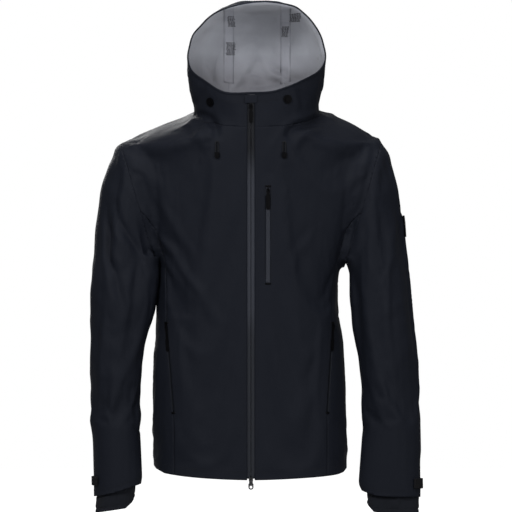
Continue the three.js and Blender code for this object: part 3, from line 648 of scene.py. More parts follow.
def settle(piece, grow, cap, frames=22):
    """Lets the cloth of a form relax and buckle, with its edges and fittings held still.

    A coarse copy is simulated, and its movement is carried over to the form."""
    coarse = link("settling", piece.data.copy())
    modify(coarse, "REMESH", mode="VOXEL", voxel_size=COARSE * MM)
    apply_modifiers(coarse)
    before = values(coarse.data)
    free = slack(own(before)) * seam_free(own(before))
    group = coarse.vertex_groups.new(name="held")
    for k, value in enumerate(free):
        group.add([k], 1 - float(value), "REPLACE")
    coarse.shape_key_add(name="Basis")
    rest = coarse.shape_key_add(name="rest")
    middle = before.mean(axis=0)
    rest.data.foreach_set("co", ((before - middle) * grow + middle).ravel())
    rest.value = 0
    cloth = modify(coarse, "CLOTH")
    for key, value in CLOTH_SETTINGS.items():
        setattr(cloth.settings, key, value)
    cloth.settings.rest_shape_key = rest
    cloth.settings.effector_weights.gravity = 0.6
    cloth.collision_settings.use_collision = False
    cloth.point_cache.frame_start = 1
    cloth.point_cache.frame_end = frames
    scene = bpy.context.scene
    for number in range(1, frames + 1):
        scene.frame_set(number)
    settled = coarse.evaluated_get(bpy.context.evaluated_depsgraph_get())
    moved = values(settled.data) - before
    scene.frame_set(1)
    bpy.data.objects.remove(coarse)
    length = np.linalg.norm(moved, axis=1)
    moved *= (cap * MM * np.tanh(length / (cap * MM)) / np.maximum(length, 1e-9))[:, None]
    tree = KDTree(len(before))
    for k, p in enumerate(before):
        tree.insert(p, k)
    tree.balance()
    co = values(piece.data)
    for k, p in enumerate(co):
        found = tree.find_n(p, 4)
        weights = [1 / (distance + 1e-4) for _, _, distance in found]
        co[k] += sum(w * moved[n] for (_, n, _), w in zip(found, weights)) / sum(weights)
    set_points(piece.data, co)


# ---- Cutting the form into panels -----------------------------------------------------------------------
def faces_of(bm):
    """The faces and their centres. A cut replaces faces, so each pass takes them anew."""
    return np.array(bm.faces), own([f.calc_center_median() for f in bm.faces])


def slice_faces(bm, faces, point, normal):
    """Bisects the faces by a plane given in the jacket's own frame, and returns them with their new parts."""
    faces = [f for f in faces if f.is_valid]
    geometry = set(faces)
    for face in faces:
        geometry.update(face.edges)
        geometry.update(face.verts)
    result = bmesh.ops.bisect_plane(bm, geom=list(geometry), dist=1e-6, plane_co=at(*point), plane_no=normal)
    return set(faces) | {g for g in result["geom"] if isinstance(g, bmesh.types.BMFace)}


def cut_line(bm, line, run, rise, where=None, reach=16):
    """Cuts the surface along a line of (run, rise) points carried straight through the jacket."""
    line = np.array(line, float)
    faces, centres = faces_of(bm)
    near = off_line(centres[:, [run, rise]], line)[0] < reach
    if where is not None:
        near &= where(centres)
    band = set(faces[near])
    for (u0, v0), (u1, v1) in zip(line, line[1:]):
        point = [0, 0, 0]
        point[run], point[rise] = u0, v0
        normal = Vector((0, 0, 0))
        normal[run], normal[rise] = v0 - v1, u1 - u0
        low, high = sorted((at(*([0] * run + [u] + [0] * (2 - run)))[run] for u in (u0, u1)))
        part = [
            f for f in band
            if f.is_valid and low - 0.005 < f.verts[0].co[run] < high + 0.005
        ]
        if part:
            band |= slice_faces(bm, part, point, normal.normalized())


def side_line(side):
    """The side seam as (z, x), from the armpit to below the hem."""
    sign = SIDES[side]
    top, bottom = POCKET_ZIPS[side]
    upper = [(z, x * sign) for z, x in SIDE_TOP]
    return upper + [(350, top[0]), (top[1], top[0]), (bottom[1], bottom[0]), (-60, 148 * sign)]


def label(centres):
    """The panel that each face centre belongs to."""
    x, y, z = centres.T
    names = np.where(y < SHOULDER_Y, np.where(x > 0, "front_left_panel", "front_right_panel"), "back_panel")
    names = np.where((y >= SHOULDER_Y) & (z > YOKE_Z), "back_yoke", names)
    for side in SIDES:
        line = np.array(side_line(side)[::-1])
        beyond = x * SIDES[side] > np.interp(z, line[:, 0], line[:, 1] * SIDES[side])
        names = np.where(beyond & (z < SIDE_TOP[0][0]), f"{side}_side_panel", names)
    names = np.where(z > NECK[0] + NECK[1] * y, "collar", names)
    hood = z > HOOD[0] + HOOD[1] * y
    names = np.where(hood, "hood_centre_panel", names)
    names = np.where(hood & (x < HOOD_SEAMS[0]), "hood_right_panel", names)
    names = np.where(hood & (x > HOOD_SEAMS[1]), "hood_left_panel", names)
    return np.where(hood & (y < BRIM[0]) & (z > BRIM[1]), "hood_brim", names)


def seam_cuts(bm, offset):
    """Cuts the torso form along every seam, moved aside by an offset."""
    # Each seam plane: the faces it may cut, a point on it and its normal.
    planes = [
        (lambda c: c[:, 2] > 650, (0, 0, NECK[0] + offset), (0, -NECK[1], 1)),
        (lambda c: c[:, 2] > 740, (0, 0, HOOD[0] + offset), (0, -HOOD[1], 1)),
        (lambda c: c[:, 2] > 510, (0, SHOULDER_Y + offset, 0), (0, 1, 0)),
        (lambda c: c[:, 1] > 0, (0, 0, YOKE_Z + offset), (0, 0, 1)),
        (lambda c: c[:, 2] > 850, (0, BRIM[0] + offset, 0), (0, 1, 0)),
    ]
    planes += [(lambda c: c[:, 2] > 740, (seam + offset, 0, 0), (1, 0, 0)) for seam in HOOD_SEAMS]
    for where, point, way in planes:
        normal = Vector(way).normalized()
        faces, centres = faces_of(bm)
        near = np.abs((centres - np.array(point)) @ np.array(normal)) < 12
        slice_faces(bm, faces[near & where(centres)], point, normal)
    for side in SIDES:
        line = [(z, x + offset * SIDES[side]) for z, x in side_line(side)]
        cut_line(bm, line, 2, 0, lambda c: c[:, 2] < 540)


def seam_vertices(bm, names):
    """Vertices on the borders between panels."""
    inner = [e for e in bm.edges if len(e.link_faces) == 2]
    borders = [e for e in inner if len({names[f.index] for f in e.link_faces}) == 2]
    return {v for e in borders for v in e.verts}


def keep_largest(bm):
    unseen = set(bm.faces)
    islands = []
    while unseen:
        stack = [unseen.pop()]
        island = set(stack)
        while stack:
            for edge in stack.pop().edges:
                for face in edge.link_faces:
                    if face in unseen:
                        unseen.discard(face)
                        island.add(face)
                        stack.append(face)
        islands.append(island)
    islands.sort(key=len)
    bmesh.ops.delete(bm, geom=[f for island in islands[:-1] for f in island], context="FACES")


def drop_faces(bm, test):
    faces, centres = faces_of(bm)
    bmesh.ops.delete(bm, geom=list(faces[test(centres)]), context="FACES")


def trim_below(bm, line):
    """Cuts the surface along a line of (x, z) and drops what is below it."""
    cut_line(bm, line, 0, 2)
    drop_faces(bm, lambda c: beyond(c, line) < 0)


def armhole_cut(bm, side):
    x, z, lean = ARMHOLE
    sign = SIDES[side]
    normal = Vector((math.cos(lean) * sign, 0, -math.sin(lean)))
    faces, centres = faces_of(bm)
    near = np.abs(past_armhole(centres, side)) < 15
    near &= (centres[:, 2] > ARMPIT_Z - 12) & (centres[:, 0] * sign > 0)
    slice_faces(bm, faces[near], (x * sign, 0, z), normal)


def zip_window(bm, line, half):
    """Opens the slot that a pocket zip shows through."""
    (x1, z1), (x0, z0) = line
    ahead = lambda c: c[:, 1] < -25
    for shift in (-half, half):
        cut_line(bm, [(z0 - 6, x0 + shift), (z1 + 6, x1 + shift)], 2, 0, ahead)
    for x, z in line:
        cut_line(bm, [(x - 12, z), (x + 12, z)], 0, 2, ahead)
    drop_faces(bm, lambda c: (c[:, 1] < -25) & (c[:, 2] > z0) & (c[:, 2] < z1)
               & (np.abs(c[:, 0] - np.interp(c[:, 2], [z0, z1], [x0, x1])) < half))


def torso_panels(form):
    """The torso form cut into panels, as {name: mesh}."""
    bm = bmesh.new()
    bm.from_mesh(form.data)
    for side, sign in SIDES.items():
        armhole_cut(bm, side)
        drop_faces(bm, lambda c: (past_armhole(c, side) > 0) & (c[:, 2] > ARMPIT_Z) & (c[:, 0] * sign > 0))
    keep_largest(bm)
    trim_below(bm, curve(HEM_LINE, 12))
    # The chin is lifted to the plain rim line for the cut, and let down again after it.
    rim = curve(RIM_LINE, 8)
    lift = bm.verts.layers.float.new("lift")
    for vert, rise in zip(bm.verts, sag(own([v.co for v in bm.verts]))):
        vert[lift] = rise * MM
        vert.co.z += vert[lift]
    cut_line(bm, rim, 2, 1)
    drop_faces(bm, lambda c: (c[:, 2] > CHIN_Z - 10) & (c[:, 1] < np.interp(c[:, 2], rim[:, 0], rim[:, 1])))
    for vert in bm.verts:
        vert.co.z -= vert[lift]
    bm.verts.layers.float.remove(lift)
    for edge in (-ZIP_EDGE, ZIP_EDGE):
        cut_line(bm, [(-20, edge), (780, edge)], 2, 0, lambda c: c[:, 1] < -60)
    drop_faces(bm, lambda c: (np.abs(c[:, 0]) < ZIP_EDGE) & (c[:, 1] < -60) & (c[:, 2] < 800))
    for line, half in SHORT_ZIPS.values():
        zip_window(bm, line, half)
    for offset in (0, SEAM_SIDE, -SEAM_SIDE):
        seam_cuts(bm, offset)
    bm.normal_update()
    bm.faces.ensure_lookup_table()
    bm.faces.index_update()
    names = label(own([f.calc_center_median() for f in bm.faces]))
    neck = at(0, 0, NECK[0] - 42).z
    for vert in seam_vertices(bm, names):
        faint = 0.1 if vert.co.z > neck else 1
        vert.co -= vert.normal * SEAM_DIP * faint * MM
    meshes = {}
    for name in TORSO_NODES + HOOD_NODES:
        part = bm.copy()
        part.faces.ensure_lookup_table()
        bmesh.ops.delete(part, geom=[f for f, n in zip(part.faces, names) if n != name], context="FACES")
        mesh = bpy.data.meshes.new(name)
        part.to_mesh(mesh)
        part.free()
        meshes[name] = mesh
    bm.free()
    return meshes


def sleeve_mesh(form, side):
    bm = bmesh.new()
    bm.from_mesh(form.data)
    armhole_cut(bm, side)
    drop_faces(bm, lambda c: (past_armhole(c, side) < 0) & (c[:, 2] > SPLIT_Z))
    trim_below(bm, curve(CUFF_LINES[side], 12))
    keep_largest(bm)
    mesh = bpy.data.meshes.new(f"{side}_sleeve")
    bm.to_mesh(mesh)
    bm.free()
    return mesh


def add_cloth_grid(mesh, name):
    """Stores where each point lies on the cloth (round and up, in metres), for the weave."""
    co = own(values(mesh))
    if "sleeve" in name or "cuff" in name:
        side = "left" if "left" in name else "right"
        line = curve(SLEEVE_LINES[side], 10)
        centre = np.stack([np.interp(-co[:, 2], -line[:, 2], line[:, k]) for k in (0, 1)], axis=1)
        radius = 58
    else:
        centre = np.array([[0, -10]])
        radius = 160
    away = co[:, :2] - centre
    angle = np.arctan2(away[:, 1], away[:, 0])
    middle = math.atan2(np.sin(angle).mean(), np.cos(angle).mean())
    angle = (angle - middle + math.pi) % (2 * math.pi) - math.pi
    grid = np.stack([angle * radius * MM, co[:, 2] * MM, np.zeros(len(co))], axis=1)
    mesh.attributes.new("cloth", "FLOAT_VECTOR", "POINT").data.foreach_set("vector", grid.ravel())


def store_wear(mesh, amounts):
    mesh.attributes.new("wear", "FLOAT", "POINT").data.foreach_set("value", amounts)


def add_wear(mesh, spread):
    """Stores how close each point is to an open edge or seam of its piece, 1 at the edge."""
    ends = np.zeros(len(mesh.vertices), bool)
    bm = bmesh.new()
    bm.from_mesh(mesh)
    for edge in bm.edges:
        if edge.is_boundary:
            ends[edge.verts[0].index] = ends[edge.verts[1].index] = True
    bm.free()
    co = values(mesh)
    tree = KDTree(int(ends.sum()))
    for k in np.flatnonzero(ends):
        tree.insert(co[k], k)
    tree.balance()
    near = np.array([tree.find(p)[2] for p in co]) if ends.any() else np.ones(len(co))
    store_wear(mesh, np.exp(-near / (spread * MM)))


# ---- Materials ------------------------------------------------------------------------------------------
class Shader:
    """A node material with a Principled surface, and short ways to add nodes to it."""

    def __init__(self, name, **surface):
        self.material = bpy.data.materials.new(name)
        self.material.use_nodes = True
        self.tree = self.material.node_tree
        self.surface = self.tree.nodes["Principled BSDF"]
        for key, value in surface.items():
            self.set(key.replace("_", " "), value)

    def feed(self, socket, value):
        if isinstance(value, bpy.types.NodeSocket):
            self.tree.links.new(value, socket)
        elif isinstance(value, tuple) and len(value) == 3 and socket.type == "RGBA":
            socket.default_value = (*value, 1)
        else:
            socket.default_value = value

    def node(self, kind, inputs=(), **properties):
        node = self.tree.nodes.new(f"ShaderNode{kind}")
        for key, value in properties.items():
            setattr(node, key, value)
        for socket, value in dict(inputs).items():
            self.feed(node.inputs[socket], value)
        return node

    def math(self, operation, a, b=0.0):
        return self.node("Math", {0: a, 1: b}, operation=operation).outputs[0]

    def times(self, a, b):
        return self.math("MULTIPLY", a, b)

    def plus(self, a, b):
        return self.math("ADD", a, b)

    def set(self, name, value):
        """Feeds one input of the surface."""
        self.feed(self.surface.inputs[name], value)

    def height_of(self, vector):
        return self.node("SeparateXYZ", {0: vector}).outputs[2]

    def attribute(self, name, output):
        return self.node("Attribute", attribute_name=name).outputs[output]

    def place(self):
        return self.node("TexCoord").outputs["Object"]

    def noise(self, vector, scale, detail=3.0, roughness=0.5):
        inputs = {"Vector": vector, "Scale": scale, "Detail": detail, "Roughness": roughness}
        return self.node("TexNoise", inputs).outputs["Fac"]

    def span(self, value, low, high, start=0.0, stop=1.0):
        inputs = {"Value": value, "From Min": low, "From Max": high, "To Min": start, "To Max": stop}
        return self.node("MapRange", inputs).outputs[0]

    def blend(self, factor, a, b):
        node = self.node("Mix", data_type="RGBA")
        self.feed(node.inputs["Factor"], factor)
        self.feed(node.inputs[6], a)
        self.feed(node.inputs[7], b)
        return node.outputs[2]

    def bump(self, height, distance, strength=1.0):
        inputs = {"Height": height, "Distance": distance, "Strength": strength}
        self.set("Normal", self.node("Bump", inputs).outputs[0])


def weave(shader, thread):
    """A plain weave over the cloth grid, 0 to 1."""
    grid = shader.node("SeparateXYZ", {0: shader.attribute("cloth", "Vector")}).outputs
    turns = 2 * math.pi / (thread * MM)
    across = shader.math("SINE", shader.times(grid[0], turns))
    upward = shader.math("SINE", shader.times(grid[1], turns))
    return shader.span(shader.times(across, upward), -1, 1)


def shell_material():
    shader = Shader("shell_fabric", Specular_IOR_Level=0.06, Sheen_Weight=0.004, Sheen_Roughness=0.4)
    place = shader.place()
    cloth = weave(shader, 0.62)
    large = shader.noise(place, 7, 3)
    fine = shader.noise(place, 420, 2)
    wear = shader.attribute("wear", "Fac")
    colour = shader.blend(shader.span(large, 0.3, 0.7), (0.0054, 0.0066, 0.0108), (0.0069, 0.0082, 0.0126))
    colour = shader.blend(shader.times(fine, 0.35), colour, (0.0098, 0.0113, 0.0155))
    colour = shader.blend(shader.times(wear, 0.14), colour, (0.012, 0.013, 0.017))
    shader.set("Base Color", colour)
    rough = shader.plus(shader.span(large, 0.3, 0.7, 0.52, 0.62), shader.times(fine, 0.08))
    shader.set("Roughness", rough)
    height = shader.plus(shader.times(cloth, 0.5), shader.times(fine, 0.5))
    shader.bump(height, 0.00012)
    return shader.material


def painted_lining_shade(shader, place, cloudy, colour):
    """Painted shade on the lining: darker low in the hood, where it lies in folds, and darker in every
    crease.
    """
    height = shader.height_of(place)
    share = shader.span(height, at(0, 0, 830).z, at(0, 0, 782).z, 0, 0.8)
    share = shader.times(share, shader.span(cloudy, 0.2, 0.8, 0.8, 1.1))
    # Painted shade: darker low in the hood.
    colour = shader.blend(share, colour, (0.085, 0.083, 0.094))
    # Painted shade in the creases, from an occlusion measure.
    hollow = shader.node("AmbientOcclusion", {"Distance": 0.02}, samples=8).outputs["AO"]
    return shader.blend(shader.span(hollow, 0.9, 0.45, 0, 0.75), colour, (0.05, 0.05, 0.058))


def lining_material():
    shader = Shader("lining_fabric", Specular_IOR_Level=0.3, Sheen_Weight=0.1)
    place = shader.place()
    knit = weave(shader, 0.8)
    cloudy = shader.noise(place, 22, 4, 0.6)
    fine = shader.noise(place, 500, 2)
    colour = shader.blend(shader.span(cloudy, 0.3, 0.7), (0.3, 0.31, 0.346), (0.36, 0.372, 0.412))
    colour = shader.blend(shader.times(knit, 0.25), colour, (0.24, 0.25, 0.28))
    # The lining's colour, with painted shade low in the hood and in its creases.
    shader.set("Base Color", painted_lining_shade(shader, place, cloudy, colour))
    shader.set("Roughness", shader.span(cloudy, 0.3, 0.7, 0.5, 0.62))
    shader.bump(shader.plus(knit, shader.times(fine, 0.6)), 0.00018)
    return shader.material


def film_material(name, low, high, specular):
    """Smooth coated zip tape, with painted shade that darkens it towards the chin and towards the hem."""
    shader = Shader(name, Specular_IOR_Level=specular)
    place = shader.place()
    cloudy = shader.noise(place, 60, 3)
    inputs = {"Vector": place, "Scale": 900, "Distortion": 0.4}
    twill = shader.node("TexWave", inputs, bands_direction="Z").outputs["Fac"]
    colour = shader.blend(cloudy, low, high)
    rubbed = shader.times(shader.attribute("wear", "Fac"), 0.2)
    colour = shader.blend(rubbed, colour, tuple(1.6 * c for c in high))
    height = shader.height_of(place)
    # Painted shade: the tape darkens towards the chin, where the collar shades it and it tilts away from the
    # lamps.
    painted_chin_shade = shader.span(height, at(0, 0, 585).z, at(0, 0, 640).z, 0, 0.95)
    colour = shader.blend(painted_chin_shade, colour, (0.0035, 0.0042, 0.0062))
    # Painted shade: the tape darkens towards the hem.
    painted_hem_shade = shader.span(height, at(0, 0, 330).z, at(0, 0, 280).z, 0, 0.55)
    colour = shader.blend(painted_hem_shade, colour, (0.005, 0.006, 0.008))
    shader.set("Base Color", colour)
    shader.set("Roughness", shader.span(cloudy, 0.3, 0.7, 0.42, 0.55))
    shader.bump(twill, 0.00006)
    return shader.material


def jersey_material():
    shader = Shader("stretch_cuff", Specular_IOR_Level=0.08, Sheen_Weight=0.02, Roughness=0.8)
    grid = shader.node("SeparateXYZ", {0: shader.attribute("cloth", "Vector")}).outputs
    rib = shader.math("SINE", shader.times(grid[0], 2 * math.pi / (1.6 * MM)))
    stitch = shader.math("SINE", shader.times(grid[1], 2 * math.pi / (1.1 * MM)))
    knit = shader.span(shader.plus(rib, shader.times(stitch, 0.5)), -1.5, 1.5)
    fuzz = shader.noise(shader.place(), 700, 2)
    colour = shader.blend(knit, (0.005, 0.006, 0.0092), (0.0092, 0.0106, 0.0148))
    colour = shader.blend(shader.times(fuzz, 0.3), colour, (0.015, 0.016, 0.019))
    shader.set("Base Color", colour)
    shader.bump(shader.plus(knit, shader.times(fuzz, 0.5)), 0.0003)
    return shader.material


def cord_material(name, low, high, scale, rough, depth, painted_shade=False):
    """Fine crossing threads, for cord, stitching and hook tape."""
    shader = Shader(name, Roughness=rough, Specular_IOR_Level=0.12)
    place = shader.place()
    one = shader.node("TexWave", {"Vector": place, "Scale": scale}, bands_direction="DIAGONAL").outputs["Fac"]
    fuzz = shader.noise(place, scale * 1.6, 2)
    threads = shader.plus(shader.times(one, 0.6), shader.times(fuzz, 0.4))
    colour = shader.blend(threads, low, high)
    # Painted shade as on the lining: darker low in the hood and in creases.
    if painted_shade:
        colour = painted_lining_shade(shader, place, shader.noise(place, 22, 4, 0.6), colour)
    shader.set("Base Color", colour)
    shader.bump(threads, depth)
    return shader.material


def moulded_material(name, low, high, rough, grain, depth, specular=0.35):
    """Moulded plastic or rubber with a fine spark-eroded grain and rubbed edges."""
    shader = Shader(name, Specular_IOR_Level=specular)
    place = shader.place()
    pits = shader.noise(place, grain, 3)
    patches = shader.noise(place, 90, 3)
    edges = shader.span(shader.node("NewGeometry").outputs["Pointiness"], 0.55, 0.75)
    colour = shader.blend(patches, low, high)
    colour = shader.blend(shader.times(edges, 0.3), colour, tuple(2.2 * c for c in high))
    shader.set("Base Color", colour)
    shader.set("Roughness", shader.span(patches, 0.3, 0.7, rough - 0.06, rough + 0.06))
    shader.bump(pits, depth)
    return shader.material


def metal_material():
    shader = Shader("metal_pull", Metallic=1.0)
    place = shader.place()
    brushed = shader.node("Mapping", {"Vector": place, "Scale": (1, 1, 12)}).outputs[0]
    lines = shader.noise(brushed, 700, 2)
    tarnish = shader.noise(place, 150, 3)
    shader.set("Base Color", shader.blend(tarnish, (0.08, 0.08, 0.085), (0.15, 0.15, 0.155)))
    shader.set("Roughness", shader.span(tarnish, 0.3, 0.7, 0.2, 0.34))
    shader.bump(lines, 0.00004)
    return shader.material


def badge_material():
    shader = Shader("badge_print", Roughness=0.6, Specular_IOR_Level=0.2)
    place = shader.place()
    threads = shader.node("TexWave", {"Vector": place, "Scale": 700}, bands_direction="Z").outputs["Fac"]
    grime = shader.noise(place, 120, 3)
    colour = shader.blend(shader.times(grime, 0.5), (0.62, 0.62, 0.63), (0.5, 0.5, 0.51))
    shader.set("Base Color", colour)
    shader.bump(threads, 0.0001)
    return shader.material


SHELL = shell_material()
LINING = lining_material()
FILM = film_material("laminated_zip", (0.02, 0.0225, 0.03), (0.027, 0.03, 0.039), 0.12)
# Painted shade: the pocket zip tape is darker than the other zip tapes. It stands in for the shade under the
# edges of its slot.
POCKET_TAPE_PAINTED_SHADE = film_material("pocket_zip_tape", (0.004, 0.0046, 0.0065), (0.0065, 0.0074, 0.01), 0.05)
JERSEY = jersey_material()
CORD = cord_material("cord", (0.004, 0.004, 0.005), (0.014, 0.015, 0.017), 520, 0.7, 0.0003)
THREAD = cord_material("thread", (0.004, 0.0045, 0.006), (0.01, 0.011, 0.014), 900, 0.6, 0.0001)
HOOK = cord_material("hook_and_loop", (0.003, 0.003, 0.004), (0.012, 0.012, 0.014), 800, 0.85, 0.0005)
# The seam tape in the hood gets the lining's painted shade.
TAPE = cord_material("seam_tape", (0.28, 0.288, 0.322), (0.34, 0.35, 0.39), 300, 0.5, 0.00008, painted_shade=True)
PRINT = cord_material("tape_print", (0.06, 0.062, 0.072), (0.1, 0.102, 0.115), 500, 0.5, 0.0001)
PLASTIC = moulded_material("black_hardware", (0.001, 0.001, 0.0014), (0.0022, 0.0022, 0.0027), 0.45, 1500,
                           0.00003, 0.025)
RUBBER = moulded_material("moulded_pull", (0.0014, 0.0014, 0.0018), (0.003, 0.003, 0.0035), 0.45, 1100,
                          0.00005, 0.035)
METAL = metal_material()
BADGE = badge_material()


# ---- Fabric pieces --------------------------------------------------------------------------------------
def sheet(name, mesh, nodes, thickness=CLOTH, outside=SHELL, inside=LINING):
    """A piece of laminate: the mesh is its outer face, and it has the lining on its inner one."""
    shade_smooth(mesh)
    add_cloth_grid(mesh, name)
    add_wear(mesh, 2.5)
    piece = link(name, mesh, outside, inside)
    modify(piece, "SOLIDIFY", thickness=thickness * MM, offset=-1, material_offset=1, material_offset_rim=0)
    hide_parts(*nodes)
    return piece


def build_shell():
    """Every panel of the shell, and a tree of its whole surface before the openings are cut."""
    form, sleeves = outer_forms()
    reshape(form, SHIFTS["torso"])
    curl_rim(form)
    crease(form, FRONT_FOLDS, BACK_FOLDS, 11)
    for side, sleeve in sleeves.items():
        reshape(sleeve, SHIFTS[side])
        crease(sleeve, SLEEVE_FOLDS[side], [], 23)
    for piece in (form, *sleeves.values()):
        settle(piece, 1.03, 7)
    whole = mesh_tree([form.data])
    for side, sleeve in sleeves.items():
        meet_body(sleeve, side, whole)
    pieces = {}
    meshes = torso_panels(form)
    for side, sleeve in sleeves.items():
        meshes[f"{side}_sleeve"] = sleeve_mesh(sleeve, side)
    for name, mesh in meshes.items():
        pieces[name] = sheet(f"{name}_cloth", mesh, [name])
    for piece in (form, *sleeves.values()):
        bpy.data.objects.remove(piece)
    return pieces, whole


def meet_body(sleeve, side, skin):
    """Draws the top of a sleeve onto the skin of the body form, so that the two meet along the armhole."""
    co = values(sleeve.data)
    points = own(co)
    past = past_armhole(points, side)
    for k in np.flatnonzero((past < 26) & (points[:, 2] > SPLIT_Z + 5)):
        place, _, _, distance = skin.find_nearest(Vector(co[k]))
        if distance < 14 * MM:
            co[k] += (np.array(place) - co[k]) * (1 - smoothstep(3, 26, past[k]))
    set_points(sleeve.data, co)


def follow(piece, body):
    """Ties a piece to its body. Sleeve pieces bend across the armhole, and hood pieces across the neck."""
    if body == "hood_blend":
        end = at(0, -HOOD[1] * NECK_BEND, HOOD[0] + NECK_BEND)
        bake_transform(piece, "torso", "hood", start=at(0, 0, HOOD[0]), end=end)
    elif body.endswith("_sleeve_body"):
        side = body.split("_")[0]
        x, z = UNDERARM_BEND
        start = at(x * SIDES[side], 0, z)
        away = Vector((SLEEVE_WAY[0] * SIDES[side], 0, SLEEVE_WAY[1])) * SLEEVE_BEND * MM
        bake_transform(piece, "torso", body, start=start, end=start + away)
    else:
        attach(piece, body)


def join_bodies(pieces):
    """Lets each panel follow its body, bending where it crosses from one to the next."""
    for name, piece in pieces.items():
        if name in HOOD_NODES:
            follow(piece, "hood_blend")
        elif name.endswith("_sleeve"):
            follow(piece, f"{name}_body")
        else:
            follow(piece, "torso")


# ---- Trim: stitches, tapes, zips and cords --------------------------------------------------------------
def grid_mesh(name, rows, closed=False):
    """A sheet through rows of points."""
    count = len(rows[0])
    wrap = count if closed else count - 1
    faces = [
        (r * count + k, r * count + (k + 1) % count, (r + 1) * count + (k + 1) % count, (r + 1) * count + k)
        for r in range(len(rows) - 1) for k in range(wrap)
    ]
    return mesh_of(name, [p for row in rows for p in row], faces)


def hit(tree, start, way, lift=0.0):
    """Where a ray meets the surface, lifted back along the ray, in metres."""
    place, normal, _, _ = tree.ray_cast(start, way, 1.0)
    if place is None:
        return None, None
    if normal.dot(way) > 0:
        normal = -normal
    return place + normal * lift * MM, normal


def finish_piece(piece, body, nodes=(), thickness=None):
    if thickness:
        modify(piece, "SOLIDIFY", thickness=thickness * MM, offset=-1)
    if nodes:
        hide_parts(*nodes)
    follow(piece, body)
    return piece


def sweep(name, path, normals, profile, closed, material):
    """A profile of (across, out) carried along a path, with out along the normals."""
    path = np.asarray(path)
    if closed:
        along = np.roll(path, -1, axis=0) - np.roll(path, 1, axis=0)
    else:
        along = np.gradient(path, axis=0)
    along /= np.linalg.norm(along, axis=1)[:, None]
    normals = np.asarray(normals)
    across = np.cross(along, normals)
    across /= np.linalg.norm(across, axis=1)[:, None]
    out = np.cross(across, along)
    rows = [
        [p + (a * u + o * v) * MM for u, v in profile]
        for p, a, o in zip(path, across, out)
    ]
    if closed:
        rows.append(rows[0])
    mesh = grid_mesh(name, rows, closed=True)
    with editing(mesh) as bm:
        if closed:
            bmesh.ops.remove_doubles(bm, verts=bm.verts, dist=1e-6)
        else:
            bmesh.ops.holes_fill(bm, edges=[e for e in bm.edges if e.is_boundary], sides=0)
            bmesh.ops.recalc_face_normals(bm, faces=bm.faces)
    shade_smooth(mesh)
    return link(name, mesh, material)


def oval(half_width, half_height, lift=0.0, count=10):
    return [
        (half_width * math.cos(t), lift + half_height * math.sin(t))
        for t in np.linspace(0, 2 * math.pi, count, endpoint=False)
    ]


def stitches(name, rows, body, lift=0.12):
    """Rows of thread along paths of (points, normals), each stitch a small bowed lozenge of six sides."""
    length, radius, pitch = STITCH
    points, faces = [], []
    for path, normals in rows:
        path, normals = np.asarray(path), np.asarray(normals)
        runs = np.concatenate([[0], np.cumsum(np.linalg.norm(np.diff(path, axis=0), axis=1))])
        for run in np.arange(pitch / 2, runs[-1] / MM - length, pitch) * MM:
            after = min(int(np.searchsorted(runs, run)), len(runs) - 1)
            if runs[after] - runs[after - 1] > 9 * MM:
                continue
            ends = [
                np.array([np.interp(run + step * MM, runs, path[:, k]) for k in range(3)])
                for step in (-length / 2, length / 2)
            ]
            up = np.array([np.interp(run, runs, normals[:, k]) for k in range(3)])
            up /= np.linalg.norm(up)
            along = ends[1] - ends[0]
            side = np.cross(along, up)
            side /= np.linalg.norm(side)
            base = len(points)
            points.append(ends[0] - up * 0.3 * MM)
            for share, swell in ((0.2, 0.8), (0.8, 0.8)):
                middle = ends[0] + along * share + up * lift * MM
                points += [
                    middle + (side * math.cos(t) + up * math.sin(t)) * radius * swell * MM
                    for t in np.linspace(0, 2 * math.pi, 6, endpoint=False)
                ]
            points.append(ends[1] - up * 0.3 * MM)
            for k in range(6):
                n = (k + 1) % 6
                faces.append((base, base + 1 + n, base + 1 + k))
                faces.append((base + 1 + k, base + 1 + n, base + 7 + n, base + 7 + k))
                faces.append((base + 13, base + 7 + k, base + 7 + n))
    piece = link(name, mesh_of(name, points, faces), THREAD)
    follow(piece, body)
    return piece


def round_row(tree, centre, reach, height, count):
    """A path round the body or a sleeve, at a height that depends on x."""
    path, normals = [], []
    for t in np.linspace(0, 2 * math.pi, count):
        way = Vector((math.cos(t), math.sin(t), 0))
        x = centre[0] + reach * 0.75 * way.x
        for _ in range(3):
            start = at(*centre, height(x)) + way * reach * MM
            place, normal = hit(tree, start, -way)
            if place is None:
                break
            x = own([place])[0][0]
        if place is not None and (place - start).length < reach * MM:
            path.append(place)
            normals.append(normal)
    return path, normals


def front_row(tree, line, step=3):
    """A path on the front of the shell over a line of (x, z)."""
    path, normals = [], []
    for x, z in curve(line, step):
        place, normal = hit(tree, at(x, -300, z), BACKWARD)
        if place is not None:
            path.append(place)
            normals.append(normal)
    return path, normals


def front_sheet(name, rows, material, spread):
    """A sheet through rows of points that faces the front, worn along its edges."""
    mesh = grid_mesh(name, rows)
    orient(mesh, lambda centre: -BACKWARD)
    add_cloth_grid(mesh, name)
    add_wear(mesh, spread)
    return link(name, mesh, material)


def surface_strip(name, tree, lines, lift, thickness, material, body):
    """A strip laid on the front of a surface, through lines of (x, z)."""
    rows = [[hit(tree, at(x, -300, z), BACKWARD, lift)[0] for x, z in line] for line in lines]
    rows = [row for row in rows if None not in row]
    return finish_piece(front_sheet(name, rows, material, 1.2), body, thickness=thickness)


def zip_film(name, tree, top, bottom, offsets, depths, body, nodes, material, step=4):
    """One film-faced strip of a zip: at each offset across from the line it lies that deep under the skin."""
    (x1, z1), (x0, z0) = top, bottom
    count = max(2, round((z1 - z0) / step))
    rows = []
    for t in np.linspace(0, 1, count):
        x, z = x0 + (x1 - x0) * t, z0 + (z1 - z0) * t
        row = []
        for offset, depth in zip(offsets, depths):
            place, _ = hit(tree, at(x + offset, -300, z), BACKWARD)
            row.append(place + Vector((0, depth * MM, 0)))
        rows.append(row)
    return finish_piece(front_sheet(name, rows, material, 0.8), body, nodes, 0.5)


